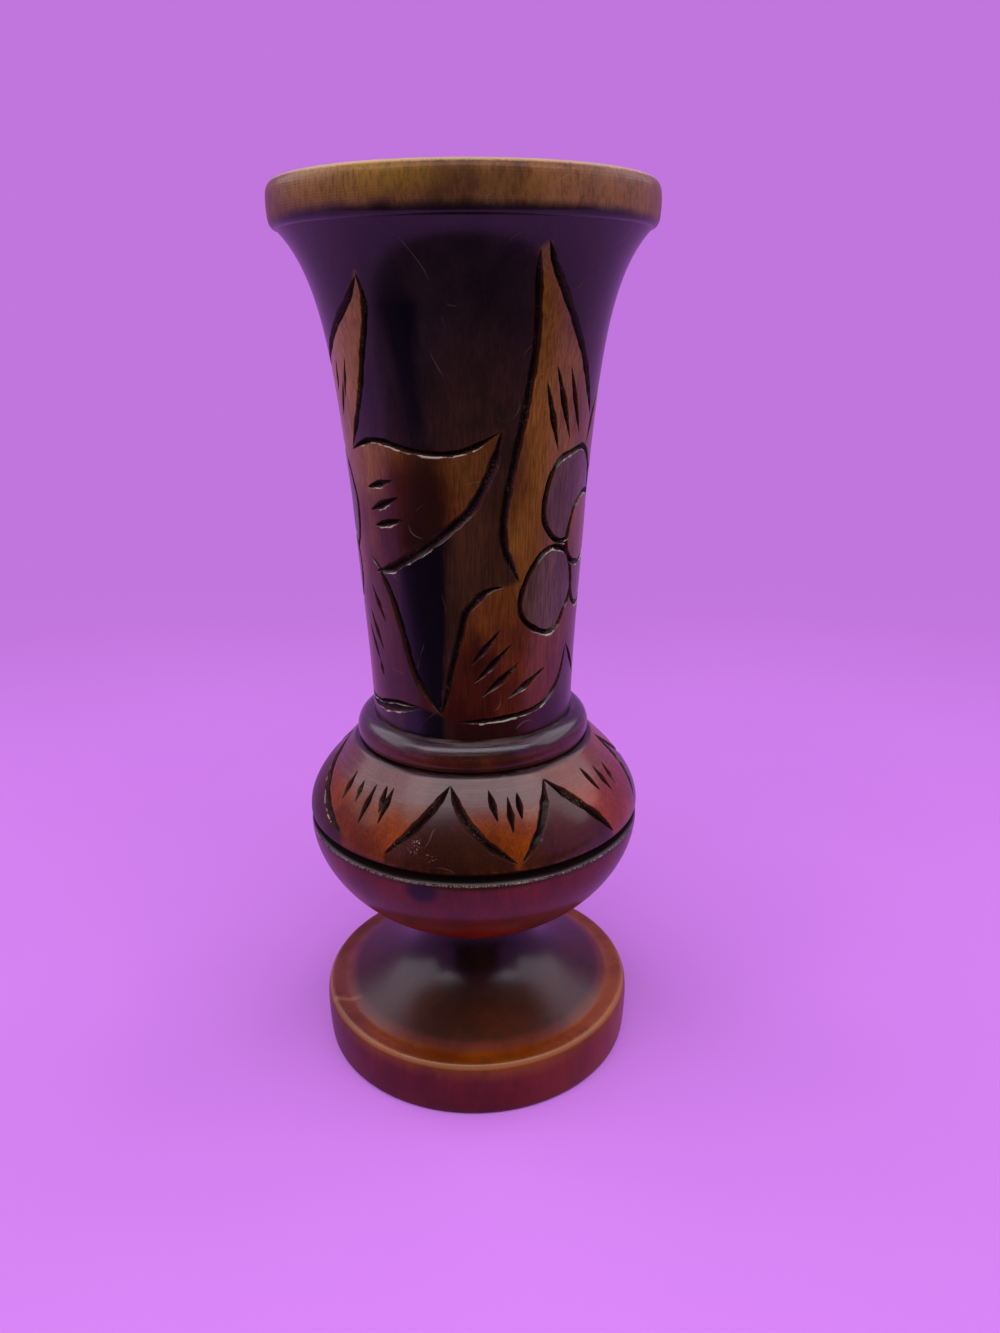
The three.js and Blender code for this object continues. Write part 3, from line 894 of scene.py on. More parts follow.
# %% Ring
bead_reach, undercut, undercut_height = 4.1, 1.9, 2.6
bead_height = ring.low + undercut_height
ring_section = section(
    (socket_radius, ring.low),
    quarter((ring.radius - undercut, bead_height), (undercut, undercut_height), -90, 10),
    quarter((neck_foot_radius, bead_height), (bead_reach, ring.high - bead_height), 0, 14)[1:],
    (socket_radius, ring.high), (socket_radius, ring.low),
)
ring_piece = build("vase_ring", ring_section, PLAIN_COLUMNS)

# %% [markdown]
# ## The foot
#
# The foot is a disc with softly rounded edges and a flat lip. Inside the lip's crease it
# rises in a cove to the waist, where its tenon is glued into the belly. Its section is a
# chain of smooth stretches, each starting where the last one ends, so the points where they
# meet are named first.

# %% Foot
disc_top = 14.0
sole_edge, side_low = (foot.radius - 1.4, 0), (foot.radius - 0.5, 1.0)
side_high, lip_rim = (foot.radius - 0.15, disc_top - 2.4), (foot.radius - 2.0, disc_top)
lip_crease, waist = (34.4, disc_top - 0.1), (waist_radius, bowl.low - GLUE_FILM)
foot_section = section(
    (0, 0), sole_edge,
    stretch(sole_edge, (0.6, 0.0), (-0.1, -0.5), side_low, 4)[1:],
    stretch(side_low, (0.3, 2.5), (0.2, -2.5), side_high, 10)[1:],
    stretch(side_high, (-0.1, 1.3), (1.1, 0.1), lip_rim, 7)[1:],
    stretch(lip_rim, (-1.2, -0.1), (1.0, -0.25), lip_crease, 6)[1:],
    stretch(lip_crease, (-10.7, 4.6), (0, -13.5), waist, 40)[1:],
    (tenon_radius, waist[1]), (tenon_radius, foot.high), (0, foot.high),
)
foot_piece = build("vase_foot", foot_section, PLAIN_COLUMNS)

# %% [markdown]
# ## Writing shader maths
#
# A material is a graph of nodes, and graphs of sums are hard to read. `Value` wraps a
# node's output, and Python's operators on it add Math nodes, so `1 - mask` is a node too.

# %% A socket that can be written in sums
class Value:
    """A node's output that can be written in sums."""

    def __init__(self, graph, socket):
        self.graph, self.socket = graph, socket

    def __add__(self, other):
        return self.graph.math("ADD", self, other)

    def __sub__(self, other):
        return self.graph.math("SUBTRACT", self, other)

    def __rsub__(self, other):
        return self.graph.math("SUBTRACT", other, self)

    def __mul__(self, other):
        return self.graph.math("MULTIPLY", self, other)

    def __truediv__(self, other):
        return self.graph.math("DIVIDE", self, other)

    def __rtruediv__(self, other):
        return self.graph.math("DIVIDE", other, self)

    __radd__, __rmul__ = __add__, __mul__


print("sums that Value can write:", [name for name in vars(Value) if name.startswith("__r")])

# %% [markdown]
# ### All the other nodes
#
# `Graph.node` adds any other node, with its settings first and then its sockets. The rest
# are the few nodes that a vase's finish asks for again and again. `seen` finds the rays
# that show a surface to the eye, which the floor and the world will need.

# %% A node tree in the making
class Graph:
    """Adds nodes to a tree, which is emptied first."""

    def __init__(self, tree):
        self.tree = tree
        tree.nodes.clear()

    def node(self, kind, settings=None, sockets=None, output=0):
        """Adds a node and gives its output, or the node itself where it has none."""
        made = self.tree.nodes.new(kind)
        for key, value in (settings or {}).items():
            if key == "stops":
                self.set_stops(made.color_ramp.elements, value)
            else:
                setattr(made, key, value)
        for key, value in (sockets or {}).items():
            if isinstance(value, Value):
                self.tree.links.new(value.socket, made.inputs[key])
            else:
                made.inputs[key].default_value = value
        return Value(self, made.outputs[output]) if made.outputs else made

    @staticmethod
    def set_stops(elements, stops):
        """Gives a ramp its stops, each a place from 0 to 1 and a grey from 0 to 1."""
        while len(elements) < len(stops):
            elements.new(1.0)
        for element, (at, grey) in zip(elements, stops):
            element.position, element.color = at, (grey, grey, grey, 1.0)

    def math(self, operation, *values):
        return self.node("ShaderNodeMath", {"operation": operation}, dict(enumerate(values)))

    def ramp(self, value, low, high):
        """0 below low, 1 above high and smooth in between; low above high turns it round."""
        sockets = {"Value": value, "From Min": low, "From Max": high}
        return self.node("ShaderNodeMapRange", {"interpolation_type": "SMOOTHSTEP"}, sockets)

    def curve(self, value, points):
        """Follows points of (value, result), straight from one to the next."""
        ats, results = zip(*points)
        start, length = ats[0], ats[-1] - ats[0]
        low, reach = min(results), max(results) - min(results)
        stops = [((at - start) / length, (result - low) / reach) for at, result in points]
        share = (value - start) / length
        return self.node("ShaderNodeValToRGB", {"stops": stops}, {"Fac": share}) * reach + low

    def mix(self, share, first, second):
        """Colour first where share is 0, second where it is 1."""
        sockets = {0: share, 6: first, 7: second}
        return self.node("ShaderNodeMix", {"data_type": "RGBA"}, sockets, output=2)

    def seen(self):
        """1 for the rays that show a surface: straight, in a reflection or through glass."""
        camera, glossy, transmission = (self.node("ShaderNodeLightPath", output=f"Is {kind} Ray")
                                        for kind in ("Camera", "Glossy", "Transmission"))
        return self.math("MAXIMUM", self.math("MAXIMUM", camera, glossy), transmission)


print("Graph writes:", [name for name in vars(Graph) if not name.startswith("_")])

# %% [markdown]
# ## A material and its colours
#
# Every finish here is laid out by where it sits on the vase, so a `Finish` starts with the
# height and the distance from the axis in millimetres. Colours are written from 0 to 255,
# as a painter reads them off a screen, and `srgb` turns them into the linear light that
# Blender reckons with, by the sRGB standard's own formula.

# %% A material in the making
TO_MM = 1 / MM


class Finish(Graph):
    """A new material, with each point's place on the vase in millimetres."""

    def __init__(self, name):
        self.material = bpy.data.materials.new(name)
        self.material.use_nodes = True
        super().__init__(self.material.node_tree)
        self.place = self.node("ShaderNodeTexCoord", output="Object")
        axes = self.node("ShaderNodeSeparateXYZ", None, {0: self.place}).socket.node.outputs
        self.x, self.y, self.z = (Value(self, axis) for axis in axes)
        self.radius = self.math("SQRT", self.x * self.x + self.y * self.y) * TO_MM
        self.height = self.z * TO_MM

    def noise(self, scale, detail=3.0, roughness=0.55):
        """Noise, 0 to 1, with scale as features to the metre along x, y and z."""
        at = self.node("ShaderNodeVectorMath", {"operation": "MULTIPLY"}, {0: self.place, 1: scale})
        return self.node("ShaderNodeTexNoise", None,
                         {"Vector": at, "Scale": 1.0, "Detail": detail, "Roughness": roughness})

    def mask(self, name):
        """A mask that was stored on the mesh, or 0 where the mesh has none of that name."""
        return self.node("ShaderNodeAttribute", {"attribute_name": name}, output="Fac")


def srgb(red, green, blue):
    """A screen colour, 0 to 255, as linear light."""
    channels = [c / 255 for c in (red, green, blue)]
    return tuple(c / 12.92 if c <= 0.04045 else ((c + 0.055) / 1.055) ** 2.4 for c in channels) + (1.0,)


print("mid brown in linear light:", [round(c, 3) for c in srgb(110, 62, 36)])

# %% [markdown]
# ## Stained and lacquered wood
#
# The wood is a plain, even hardwood whose grain runs up the vase: fine upright fibres,
# short dark flecks and soft clouds where the stain took unevenly. Pictures of wood could be
# wrapped round it, but nodes leave no seam and go through the solid, as grain does: each is
# a noise stretched along the axis, so on the foot's flat lip the same grain shows as end
# grain. Stains are laid in soft patches and round one side or the other.

# %% Grain and stain
# Features to the metre along x, y and z, fewer along the grain.
FIBRE, FLECK, CLOUD = (2600, 2600, 60), (3400, 3400, 260), (70, 70, 32)
BLOTCH, CRUMB = (190, 190, 110), (3400, 3400, 1900)
# How dark a fibre is next to the dark shade of its field.
FIBRE_SHADE = 0.45


class Stained(Finish):
    """Stained hardwood: its grain, and the masks that the pieces' own stains need."""

    def __init__(self, name):
        super().__init__(name)
        self.azimuth = self.math("ARCTAN2", self.x, self.y * -1) * math.degrees(1)
        self.fibre = self.ramp(self.noise(FIBRE, 4, 0.62), 0.38, 0.66)
        self.fleck = self.ramp(self.noise(FLECK, 2, 0.5), 0.60, 0.74)
        self.cloud = self.noise(CLOUD, 4, 0.6)
        self.blotch = self.noise(BLOTCH, 4, 0.65)
        self.crumb = self.noise(CRUMB, 3, 0.7)

    def stain(self, shades, grain=0.4):
        """A stained field: clouds of a pale and a dark shade, with darker fibres in both."""
        pale, dark = shades
        clouds = self.ramp(self.cloud * 0.7 + self.blotch * 0.3, 0.38, 0.62)
        body = self.mix(clouds, srgb(*dark), srgb(*pale))
        lines = self.fibre * grain + self.fleck * (grain / 2)
        return self.mix(lines, body, srgb(*(c * FIBRE_SHADE for c in dark)))

    def patch(self, azimuth, height, wide, tall, soft=0.6, ragged=0.8):
        """A soft uneven spot: 1 in the middle at an azimuth and height, 0 outside."""
        across, up = (self.azimuth - azimuth) / wide, (self.height - height) / tall
        distance = across * across + up * up + (self.blotch - 0.5) * ragged
        return self.ramp(distance, 1 + soft, 1 - soft)

    def side(self, none, full, last, gone):
        """1 from the azimuth full to last, fading to none before it and gone after it."""
        return self.ramp(self.azimuth, none, full) * self.ramp(self.azimuth, gone, last)


fibre_thick, fibre_long = TO_MM / FIBRE[0], TO_MM / FIBRE[2]
print(f"fibres are about {fibre_thick:.2f} mm thick and {fibre_long:.0f} mm long")

# %% [markdown]
# ### Tool marks and lacquer
#
# The turner's tool left fine rings round the axis, and so did the sandpaper. Over the wood
# lies a satin lacquer, as the shader's coat, which carries nearly all of the shine and has
# a few hairline scratches. The reflection under the coat is turned down, because it would
# lay a grey veil over the dark stain.

# %% Tool marks and lacquer
SPECULAR, COAT = 0.05, 0.63
# Features to the metre, fewer round the axis.
TOOL_RINGS, TOOL_WANDER, SANDING = (14, 14, 320), (25, 25, 25), (60, 60, 1700)
HAIRLINES, HAIRLINE_ENDS, HAIRLINE_WIDTH = (55, 55, 55), (120, 120, 120), 0.0035
# How far fibres and flecks sink and blotches rise, in millimetres.
FIBRE_SINK, FLECK_SINK, BLOTCH_RISE = -0.006, -0.01, 0.03


class Wood(Stained):
    """Stained wood as it came off the lathe, under its lacquer."""

    def scratches(self):
        """Hairline scratches in the lacquer: short stretches of a noise's contour lines."""
        contour = self.math("ABSOLUTE", self.noise(HAIRLINES, 1) - 0.5)
        ends = self.ramp(self.noise(HAIRLINE_ENDS, 1), 0.55, 0.7)
        return self.ramp(contour, HAIRLINE_WIDTH, 0.0) * ends

    def turning(self, pitch):
        """Turning marks: uneven fine rings round the axis, 0 to 1, pitch millimetres apart."""
        rise = self.height + 0.6 * self.radius + 0.5 * self.noise(TOOL_WANDER, 2)
        wave = self.math("SINE", rise * (2 * math.pi / pitch))
        return 0.5 + 0.5 * wave * self.ramp(self.noise(TOOL_RINGS, 3), 0.4, 0.65)

    def sanding(self):
        """Fine scratches round the axis, where the turning wood met the sandpaper."""
        return self.ramp(self.noise(SANDING, 4, 0.75), 0.42, 0.7)

    def relief(self, turning=0.014, grit=0.035, pitch=0.5):
        """Grain, turning marks and grit under the lacquer, in millimetres."""
        return (self.fibre * FIBRE_SINK + self.fleck * FLECK_SINK + self.turning(pitch) * turning
                + self.crumb * grit + self.blotch * BLOTCH_RISE)

    def finish(self, colour, rough, coat, relief, coat_roughness=0.2):
        """The shader itself. relief is the height of the surface's texture in millimetres."""
        bump = self.node("ShaderNodeBump", None, {"Strength": 1.0, "Distance": MM, "Height": relief})
        shader = self.node("ShaderNodeBsdfPrincipled", None, {
            "Base Color": colour, "Roughness": rough, "IOR": 1.46, "Specular IOR Level": SPECULAR,
            "Coat Weight": coat, "Coat Roughness": coat_roughness, "Coat IOR": 1.5, "Normal": bump})
        self.node("ShaderNodeOutputMaterial", None, {"Surface": shader})
        return self.material


print("lacquer:", COAT, "of coat over", SPECULAR, "of plain reflection")

# %% [markdown]
# ## The inside of a cut
#
# The knife opened raw wood that drank dark stain and got little lacquer. A cut's bottom is
# nearly black, partly from that stain and partly as painted shade. Its sides are brown with
# pale, crumbled spots, which are partly painted glints where the rough wood catches the light,
# and its lower lip is torn and pale where the knife ran across the grain. All of this follows
# the masks that were stored with the carving, so it can't slip off the cuts.

# %% Cuts over a stained colour
# A cut's nearly black bottom is partly painted shade, and its pale crumbs are partly painted glints.
CUT_CORE_SHADE, CUT_WALL, CUT_CRUMB_GLINT, TORN_LIP = (12, 4, 5), (46, 17, 12), (98, 76, 68), (176, 160, 152)
CRUMB_HEIGHT, LIP_HEIGHT = 0.14, 0.06
TORN_STRETCHES = (330, 330, 330)


class Carved(Wood):
    """Stained wood with the knife's cuts in it."""

    def carved(self, colour, rough=0.42, gloss=1.0, crumb_glints=0.55, relief=None):
        """Lays the cuts over a stained colour, their bottom partly painted shade; one argument sets how
        pale and crumbled their sides are, the pale crumbs being partly painted glints.
        """
        cut, torn = self.mask("cut"), self.mask("torn")
        inner = self.ramp(cut, 0.03, 0.22)
        # Towards the bottom of a cut the colour goes nearly black, partly as painted shade.
        deep = self.ramp(cut + (self.crumb - 0.5) * 0.3, 0.35, 0.8)
        # Pale crumbs on the sides, partly painted glints where the rough wood catches the light.
        loose_and_glint = self.ramp(self.crumb + 0.5 * (self.blotch - 0.5), 0.56, 0.74) * crumb_glints
        walls = self.mix(deep, srgb(*CUT_WALL), srgb(*CUT_CORE_SHADE))
        walls = self.mix(loose_and_glint, walls, srgb(*CUT_CRUMB_GLINT))
        stretches = self.ramp(self.noise(TORN_STRETCHES, 2), 0.42, 0.55)
        ragged = self.ramp(torn * (0.5 + self.crumb) * (0.65 + 0.35 * stretches), 0.5, 0.8)
        colour = self.mix(self.scratches() * 0.13, colour, srgb(*TORN_LIP))
        colour = self.mix(inner, colour, walls)
        colour = self.mix(ragged * 0.75, colour, srgb(*TORN_LIP))
        texture = (relief or self.relief()) * (1 - inner)
        texture = texture + inner * self.crumb * CRUMB_HEIGHT + ragged * LIP_HEIGHT
        return self.finish(colour, rough + 0.3 * inner, gloss * COAT * (1 - 0.7 * inner), texture)


print("a cut goes from", CUT_WALL, "on its sides to", CUT_CORE_SHADE, "at its bottom")

# %% [markdown]
# ### The neck's ground and leaves
#
# The ground is nearly black under the rim, which is partly painted shade from the flare above,
# and a warmer brown lower down. The leaves were left orange-brown, and they get redder and
# darker towards the foot. All stains cover the whole neck, and the masks on the mesh choose
# between them. Darker spots where the brush lingered are laid as soft patches over the even
# stain; the spot on the front of the leaves is painted shade, and the paler left leaf is
# painted light.

# %% Ground, leaves and petals of the neck
# A stain is a pale and a dark shade. Heights are in millimetres, azimuths in degrees.
NIGHT, EARTH = ((35, 18, 27), (21, 9, 16)), ((70, 34, 20), (48, 22, 13))
RED_EARTH, PETAL_MAUVE = ((56, 13, 8), (36, 7, 5)), ((94, 60, 53), (70, 40, 38))
LEAF_ORANGE, LEAF_RED = ((124, 70, 26), (94, 47, 14)), ((100, 32, 16), (70, 14, 7))
# A gold used as painted light on the left leaf.
LEAF_PAINTED_LIGHT = ((156, 96, 44), (124, 70, 28))
# The ground's share of warm brown by height; the near black under the rim is partly painted shade from
# the flare.
EARTH_SHARE = [(90, 0.75), (120, 0.9), (142, 0.8), (160, 0.4), (182, 0.0)]
RED_SHARE = [(92, 1.0), (108, 0.8), (124, 0.3), (134, 0.0)]
# Azimuth, height, half-width, half-height, softness, strength, then the stain and its grain.
LEAF_SPOTS_AND_SHADE = [
    # The first spot, on the front of the leaves, is painted shade.
    (4, 147, 24, 14, 0.6, 0.85, ((90, 45, 18), (65, 29, 12)), 0.5),
    (-26, 137, 22, 15, 0.8, 0.8, ((78, 22, 10), (52, 11, 6)), 0.4),
    (-44, 110, 26, 22, 0.6, 0.75, ((56, 17, 14), (37, 8, 9)), 0.4),
    (-2, 101, 16, 13, 0.6, 0.75, ((52, 6, 2), (30, 3, 2)), 0.4),
]


def neck_ground(wood, height):
    """The dark field between the leaves."""
    left_side = wood.side(-160, -110, -30, 0) * 0.35
    # Near the rim the ground is all near black, partly as painted shade.
    earth = wood.curve(height, EARTH_SHARE) - left_side
    ground = wood.mix(earth, wood.stain(NIGHT, 0.3), wood.stain(EARTH, 0.5))
    red_foot = wood.ramp(wood.height, 99, 94) * wood.side(-16, -8, 80, 130)
    return wood.mix(red_foot, ground, wood.stain(RED_EARTH))


def leaf_stain(wood, height, orange):
    """The leaves' orange and red, with darker spots, one of them painted shade, and painted light on
    the left leaf.
    """
    red = wood.curve(height, RED_SHARE) + wood.patch(-42, 136, 26, 14) * 0.5
    leaves = wood.mix(red, orange, wood.stain(LEAF_RED, 0.45))
    for *spot, strength, shades, grain in LEAF_SPOTS_AND_SHADE:
        leaves = wood.mix(wood.patch(*spot) * strength, leaves, wood.stain(shades, grain))
    # Painted light: the left leaf is made paler.
    paler = wood.side(-120, -92, -52, -36) * wood.ramp(wood.height, 138, 146)
    return wood.mix(paler * 0.7, leaves, wood.stain(LEAF_PAINTED_LIGHT, 0.5))


print(len(LEAF_SPOTS_AND_SHADE), "spots on the leaves")

# %% [markdown]
# ### The streak of heartwood
#
# One dark streak of heartwood runs down the front left of the neck, faint through the leaf
# and black below it. It wanders and changes its width as grain does, so its middle and its
# half-width are both curves over the height, and so are its strength and softness.

# %% Streak down the neck
# Height, azimuth of the streak's middle, half-width in degrees, strength and softness.
STREAK = [
    (92, -28, 12.5, 0.95, 0.2), (107, -26.5, 12.3, 1.0, 0.14), (124, -24, 12.2, 1.0, 0.16),
    (134, -22, 11.5, 0.97, 0.4), (140, -19, 10, 0.92, 0.6), (150, -20, 7, 0.8, 0.8),
    (154, -21, 4.5, 0.6, 0.8), (160, -22.7, 3.8, 0.8, 0.7), (171, -24.7, 5, 1.0, 0.55),
    (179.5, -24, 8, 1.0, 0.45), (183.5, -25, 7, 0.0, 0.9),
]
HEARTWOOD, HEARTWOOD_IN_LEAF = (2, 2, 9), (24, 6, 3)


def add_streak(wood, colour, in_leaf):
    """Lays the heartwood streak over the neck's colour; low leaves hide it."""
    heights, *rows = zip(*STREAK)
    middle, half, strength, soft = (wood.curve(wood.height, list(zip(heights, row))) for row in rows)
    across = wood.math("ABSOLUTE", wood.azimuth + 3 * (wood.blotch - 0.5) - middle) / half
    low_leaf = in_leaf * wood.ramp(wood.height, 134, 130)
    streak = wood.ramp(across, 1 + soft, 1 - soft) * strength * (1 - low_leaf)
    heartwood = wood.mix(in_leaf, srgb(*HEARTWOOD), srgb(*HEARTWOOD_IN_LEAF))
    return wood.mix(streak * (0.96 - 0.06 * in_leaf), colour, heartwood)


print("the streak spans", STREAK[0][0], "to", STREAK[-1][0], "mm")

# %% [markdown]
# ### The rim band
#
# The band under the rim has no carving, so it needs no mask: its height tells it from the
# rest. Hands have rubbed it. The amber stain is mottled and scratched, one spot near the
# streak is almost yellow and the lower half is scuffed. The mauve spots on the left and the
# right are painted reflection. The top edge is painted pale, partly as wear and partly as a
# painted highlight. The dark ground starts in an uneven line below it.

# %% Amber rim band
AMBER, AMBER_DARK, AMBER_SCRATCH = (118, 74, 38), (80, 46, 26), (50, 27, 16)
SCUFF, WORN_EDGE_AND_HIGHLIGHT = (156, 116, 96), (196, 170, 140)
SCRATCH_LINES = (1500, 1500, 420)
# Azimuth, height, half-width, half-height, softness, strength, then the colour.
RIM_SPOTS_AND_REFLECTIONS = [
    # The spots at azimuths -74 and 62 are painted reflection.
    (-36, 200.3, 26, 3.5, 0.9, 0.85, (170, 122, 40)), (-12, 197.5, 30, 5, 0.9, 0.6, (60, 32, 20)),
    (-74, 197.5, 42, 12, 0.8, 0.7, (98, 54, 48)), (62, 199, 36, 9, 0.9, 0.6, (124, 78, 64)),
]


def rim_amber(wood):
    """The rubbed amber of the rim band, with painted reflection on its sides and a painted highlight on
    its worn top edge.
    """
    mottled = wood.ramp(wood.blotch * 0.5 + wood.cloud * 0.5, 0.42, 0.58)
    amber = wood.mix(mottled, srgb(*AMBER_DARK), srgb(*AMBER))
    for *spot, strength, shade in RIM_SPOTS_AND_REFLECTIONS:
        amber = wood.mix(wood.patch(*spot) * strength, amber, srgb(*shade))
    worn_lines = wood.ramp(wood.noise(SCRATCH_LINES, 4, 0.75), 0.42, 0.68)
    amber = wood.mix(worn_lines * 0.5, amber, srgb(*AMBER_SCRATCH))
    low = wood.ramp(wood.height + 6 * (wood.blotch - 0.5), top - 3.5, top - 7)
    scuffed = low * wood.ramp(wood.blotch, 0.45, 0.6) * wood.ramp(wood.crumb, 0.4, 0.75)
    amber = wood.mix(scuffed * 0.2, amber, srgb(*SCUFF))
    # The pale top edge is partly wear and partly a painted highlight.
    high = wood.ramp(wood.height + 0.8 * (wood.crumb - 0.5), top - 0.9, top - 0.3)
    worn_edge_and_highlight = high * wood.ramp(wood.radius, rim - 2.2, rim - 1.5)
    return wood.mix(worn_edge_and_highlight * 0.6, amber, srgb(*WORN_EDGE_AND_HIGHLIGHT))


def rim_band(wood):
    """1 on the rim band, which reaches a little lower at the sides than in front."""
    front = wood.patch(0, 196, 60, 60, 0.8, 0.0)
    return wood.ramp(wood.height + 1.2 * (wood.blotch - 0.5) - 1.3 * front, top - 9.4, top - 7.2)


print(len(RIM_SPOTS_AND_REFLECTIONS), "spots on the rim band")

# %% [markdown]
# ### The whole neck
#
# The bore is bare, dull wood. It is told from the outside by its distance from the axis: a
# curve over the height runs up the middle of the neck's wall, and what lies within it
# belongs to the bore. The rim band and the bore keep less of the lacquer than the rest.

# %% Neck material
# Height, and the distance of the wall's middle from the axis.
WALL_MIDDLE = [(72, 18.5), (140, 22.3), (170, 26.5), (194, 34.3), (203, 35.2)]
BARE_WOOD = ((116, 80, 48), (78, 50, 30))


def neck_finish():
    """The neck's stains, streak and rim band, with the cuts over them."""
    wood = Carved("neck_wood")
    height = wood.height + 14 * (wood.cloud - 0.5)
    orange = wood.stain(LEAF_ORANGE, 0.5)
    in_leaf = wood.mask("leaf")
    colour = wood.mix(in_leaf, neck_ground(wood, height), leaf_stain(wood, height, orange))
    colour = wood.mix(wood.mask("petal"), colour, wood.stain(PETAL_MAUVE, 0.6))
    colour = wood.mix(wood.mask("heart"), colour, orange)
    colour = add_streak(wood, colour, in_leaf)
    band = rim_band(wood)
    colour = wood.mix(band, colour, rim_amber(wood))
    bore = wood.ramp(wood.radius - wood.curve(wood.height, WALL_MIDDLE), 0.4, -0.4)
    colour = wood.mix(bore, colour, wood.stain(BARE_WOOD, 0.5))
    worn_away = 0.75 * wood.math("MAXIMUM", band, bore)
    return wood.carved(colour, 0.42 + 0.3 * bore, 1 - worn_away)


neck_piece.data.materials.append(neck_finish())
print("neck material:", len(neck_piece.data.materials[0].node_tree.nodes), "nodes")

# %% [markdown]
# ### The belly's upper cup
#
# The stain is a vivid orange between the zigzag's dark brown points and turns to mauve
# brown by the ring, which is partly painted sheen where the top of the cup mirrors the light.
# Sanding left fine rings there, painted pale as glints. The right side took more colour
# than the left. Two chips have broken out of the wood beside a point. The groove is painted
# black as shade, and the crevice by the ring nearly black, partly as shade. The front left
# is a little duller where it was handled.

# %% Upper cup's material
ORANGE, ORANGE_RIGHT = ((124, 50, 0), (88, 30, 0)), ((146, 52, 22), (108, 33, 14))
MAUVE_AND_SHEEN, MAUVE_AND_SHEEN_RIGHT = ((92, 46, 38), (66, 30, 26)), ((126, 58, 36), (96, 40, 24))
POINT_BROWN, GROOVE_SHADE, CREVICE_SHADE = ((64, 25, 11), (44, 15, 7)), (26, 8, 8), (16, 5, 6)
SANDED_GLINT, CHIPPED = (136, 104, 94), (180, 166, 154)
# Azimuth, height, half-width, half-height, softness and raggedness.
CHIPS = [(-19.8, 70.5, 2.3, 1.5, 0.6, 1.4), (-14, 68.7, 1.6, 1.0, 0.6, 1.4)]


def shoulder_finish():
    """Orange and mauve fields, the mauve partly painted sheen, dark points, and a groove painted black
    as shade.
    """
    wood = Carved("shoulder_wood")
    rise = wood.height + 4 * (wood.cloud - 0.5)
    orange = wood.mix(wood.side(22, 50, 110, 160) * 0.8, wood.stain(ORANGE), wood.stain(ORANGE_RIGHT))
    # The mauve by the ring is partly painted sheen.
    mauve = wood.mix(wood.side(20, 50, 110, 160), wood.stain(MAUVE_AND_SHEEN), wood.stain(MAUVE_AND_SHEEN_RIGHT))
    colour = wood.mix(wood.ramp(rise, 75, 79), orange, mauve)
    colour = wood.mix(wood.mask("dark"), colour, wood.stain(POINT_BROWN, 0.35))
    # The groove is painted black as shade.
    groove = wood.ramp(wood.height, shoulder.low + 2.1, shoulder.low + 1.0)
    colour = wood.mix(groove * 0.85, colour, srgb(*GROOVE_SHADE))
    # The crevice by the ring is painted nearly black, partly as shade.
    crevice = wood.ramp(wood.height, shoulder.high - 0.3, shoulder.high + 0.4)
    colour = wood.mix(crevice, colour, srgb(*CREVICE_SHADE))
    # Sanding rings painted pale as glints, where the sheen is.
    scratches = wood.sanding() * wood.ramp(rise, 74, 78)
    colour = wood.mix(scratches * 0.16, colour, srgb(*SANDED_GLINT))
    chips = wood.patch(*CHIPS[0]) + wood.patch(*CHIPS[1])
    colour = wood.mix(chips * wood.ramp(wood.crumb, 0.6, 0.66) * 0.8, colour, srgb(*CHIPPED))
    dull = 0.5 * wood.ramp(rise, 79, 75) * wood.ramp(wood.azimuth, 45, 5)
    texture = wood.relief(turning=0.03, grit=0.08, pitch=0.8) + scratches * 0.1
    return wood.carved(colour, gloss=1 - dull, crumb_glints=0.8, relief=texture)


shoulder_piece.data.materials.append(shoulder_finish())
print("upper cup's material:", len(shoulder_piece.data.materials[0].node_tree.nodes), "nodes")

# %% [markdown]
# ### The belly's lower cup
#
# Below the groove the bowl is maroon and gets more orange towards the waist, where it has
# less gloss. A small, round, nearly black knot sits just under the groove. The groove and the
# top of its lower lip are painted dark as shade, and along the lip a thin broken line is painted
# pale, partly as wear down to bare wood and partly as a painted glint. All of it lies at a
# known height or spot, so this piece does without masks.

# %% Lower cup's material
MAROON, MAROON_LOW = ((100, 20, 14), (73, 12, 10)), ((134, 20, 2), (100, 10, 2))
KNOT, LIP_SHADE, GROOVE_FLOOR_SHADE, WORN_LIP_AND_GLINT = (7, 3, 8), (30, 10, 8), (15, 5, 5), (176, 152, 136)


def bowl_finish():
    """Maroon bowl with its knot, the groove painted dark as shade and a pale lip line of wear and
    painted glint.
    """
    wood = Wood("bowl_wood")
    low_down = wood.ramp(wood.height + 5 * (wood.cloud - 0.5), 53, 43)
    colour = wood.mix(low_down, wood.stain(MAROON, 0.3), wood.stain(MAROON_LOW, 0.3))
    knot = wood.patch(-17.3, 60.4, 5.2, 2.9, 0.8, 0.3)
    colour = wood.mix(knot * 0.97, colour, srgb(*KNOT))
    lip = parting - 1.5
    over_low, under_high = (lip - 0.45, lip - 0.2), (lip + 0.25, lip + 0.05)
    # A thin broken pale line on the lip: partly wear, partly a painted glint.
    worn = wood.ramp(wood.height, *over_low) * wood.ramp(wood.height, *under_high)
    worn = worn * wood.ramp(wood.crumb + 0.35 * wood.blotch, 0.62, 0.8)
    groove = wood.ramp(wood.height, lip, lip + 0.6)
    # The top of the lip and the groove are painted dark as shade.
    shaded = wood.ramp(wood.height + wood.blotch, lip - 1.2, lip + 0.5)
    colour = wood.mix(shaded, colour, srgb(*LIP_SHADE))
    colour = wood.mix(groove, colour, srgb(*GROOVE_FLOOR_SHADE))
    colour = wood.mix(worn * 0.6, colour, srgb(*WORN_LIP_AND_GLINT))
    dull = wood.math("MAXIMUM", groove, 0.2 + 0.7 * low_down)
    return wood.finish(colour, 0.42 + 0.4 * groove, COAT * (1 - dull), wood.relief() + worn * 0.05)


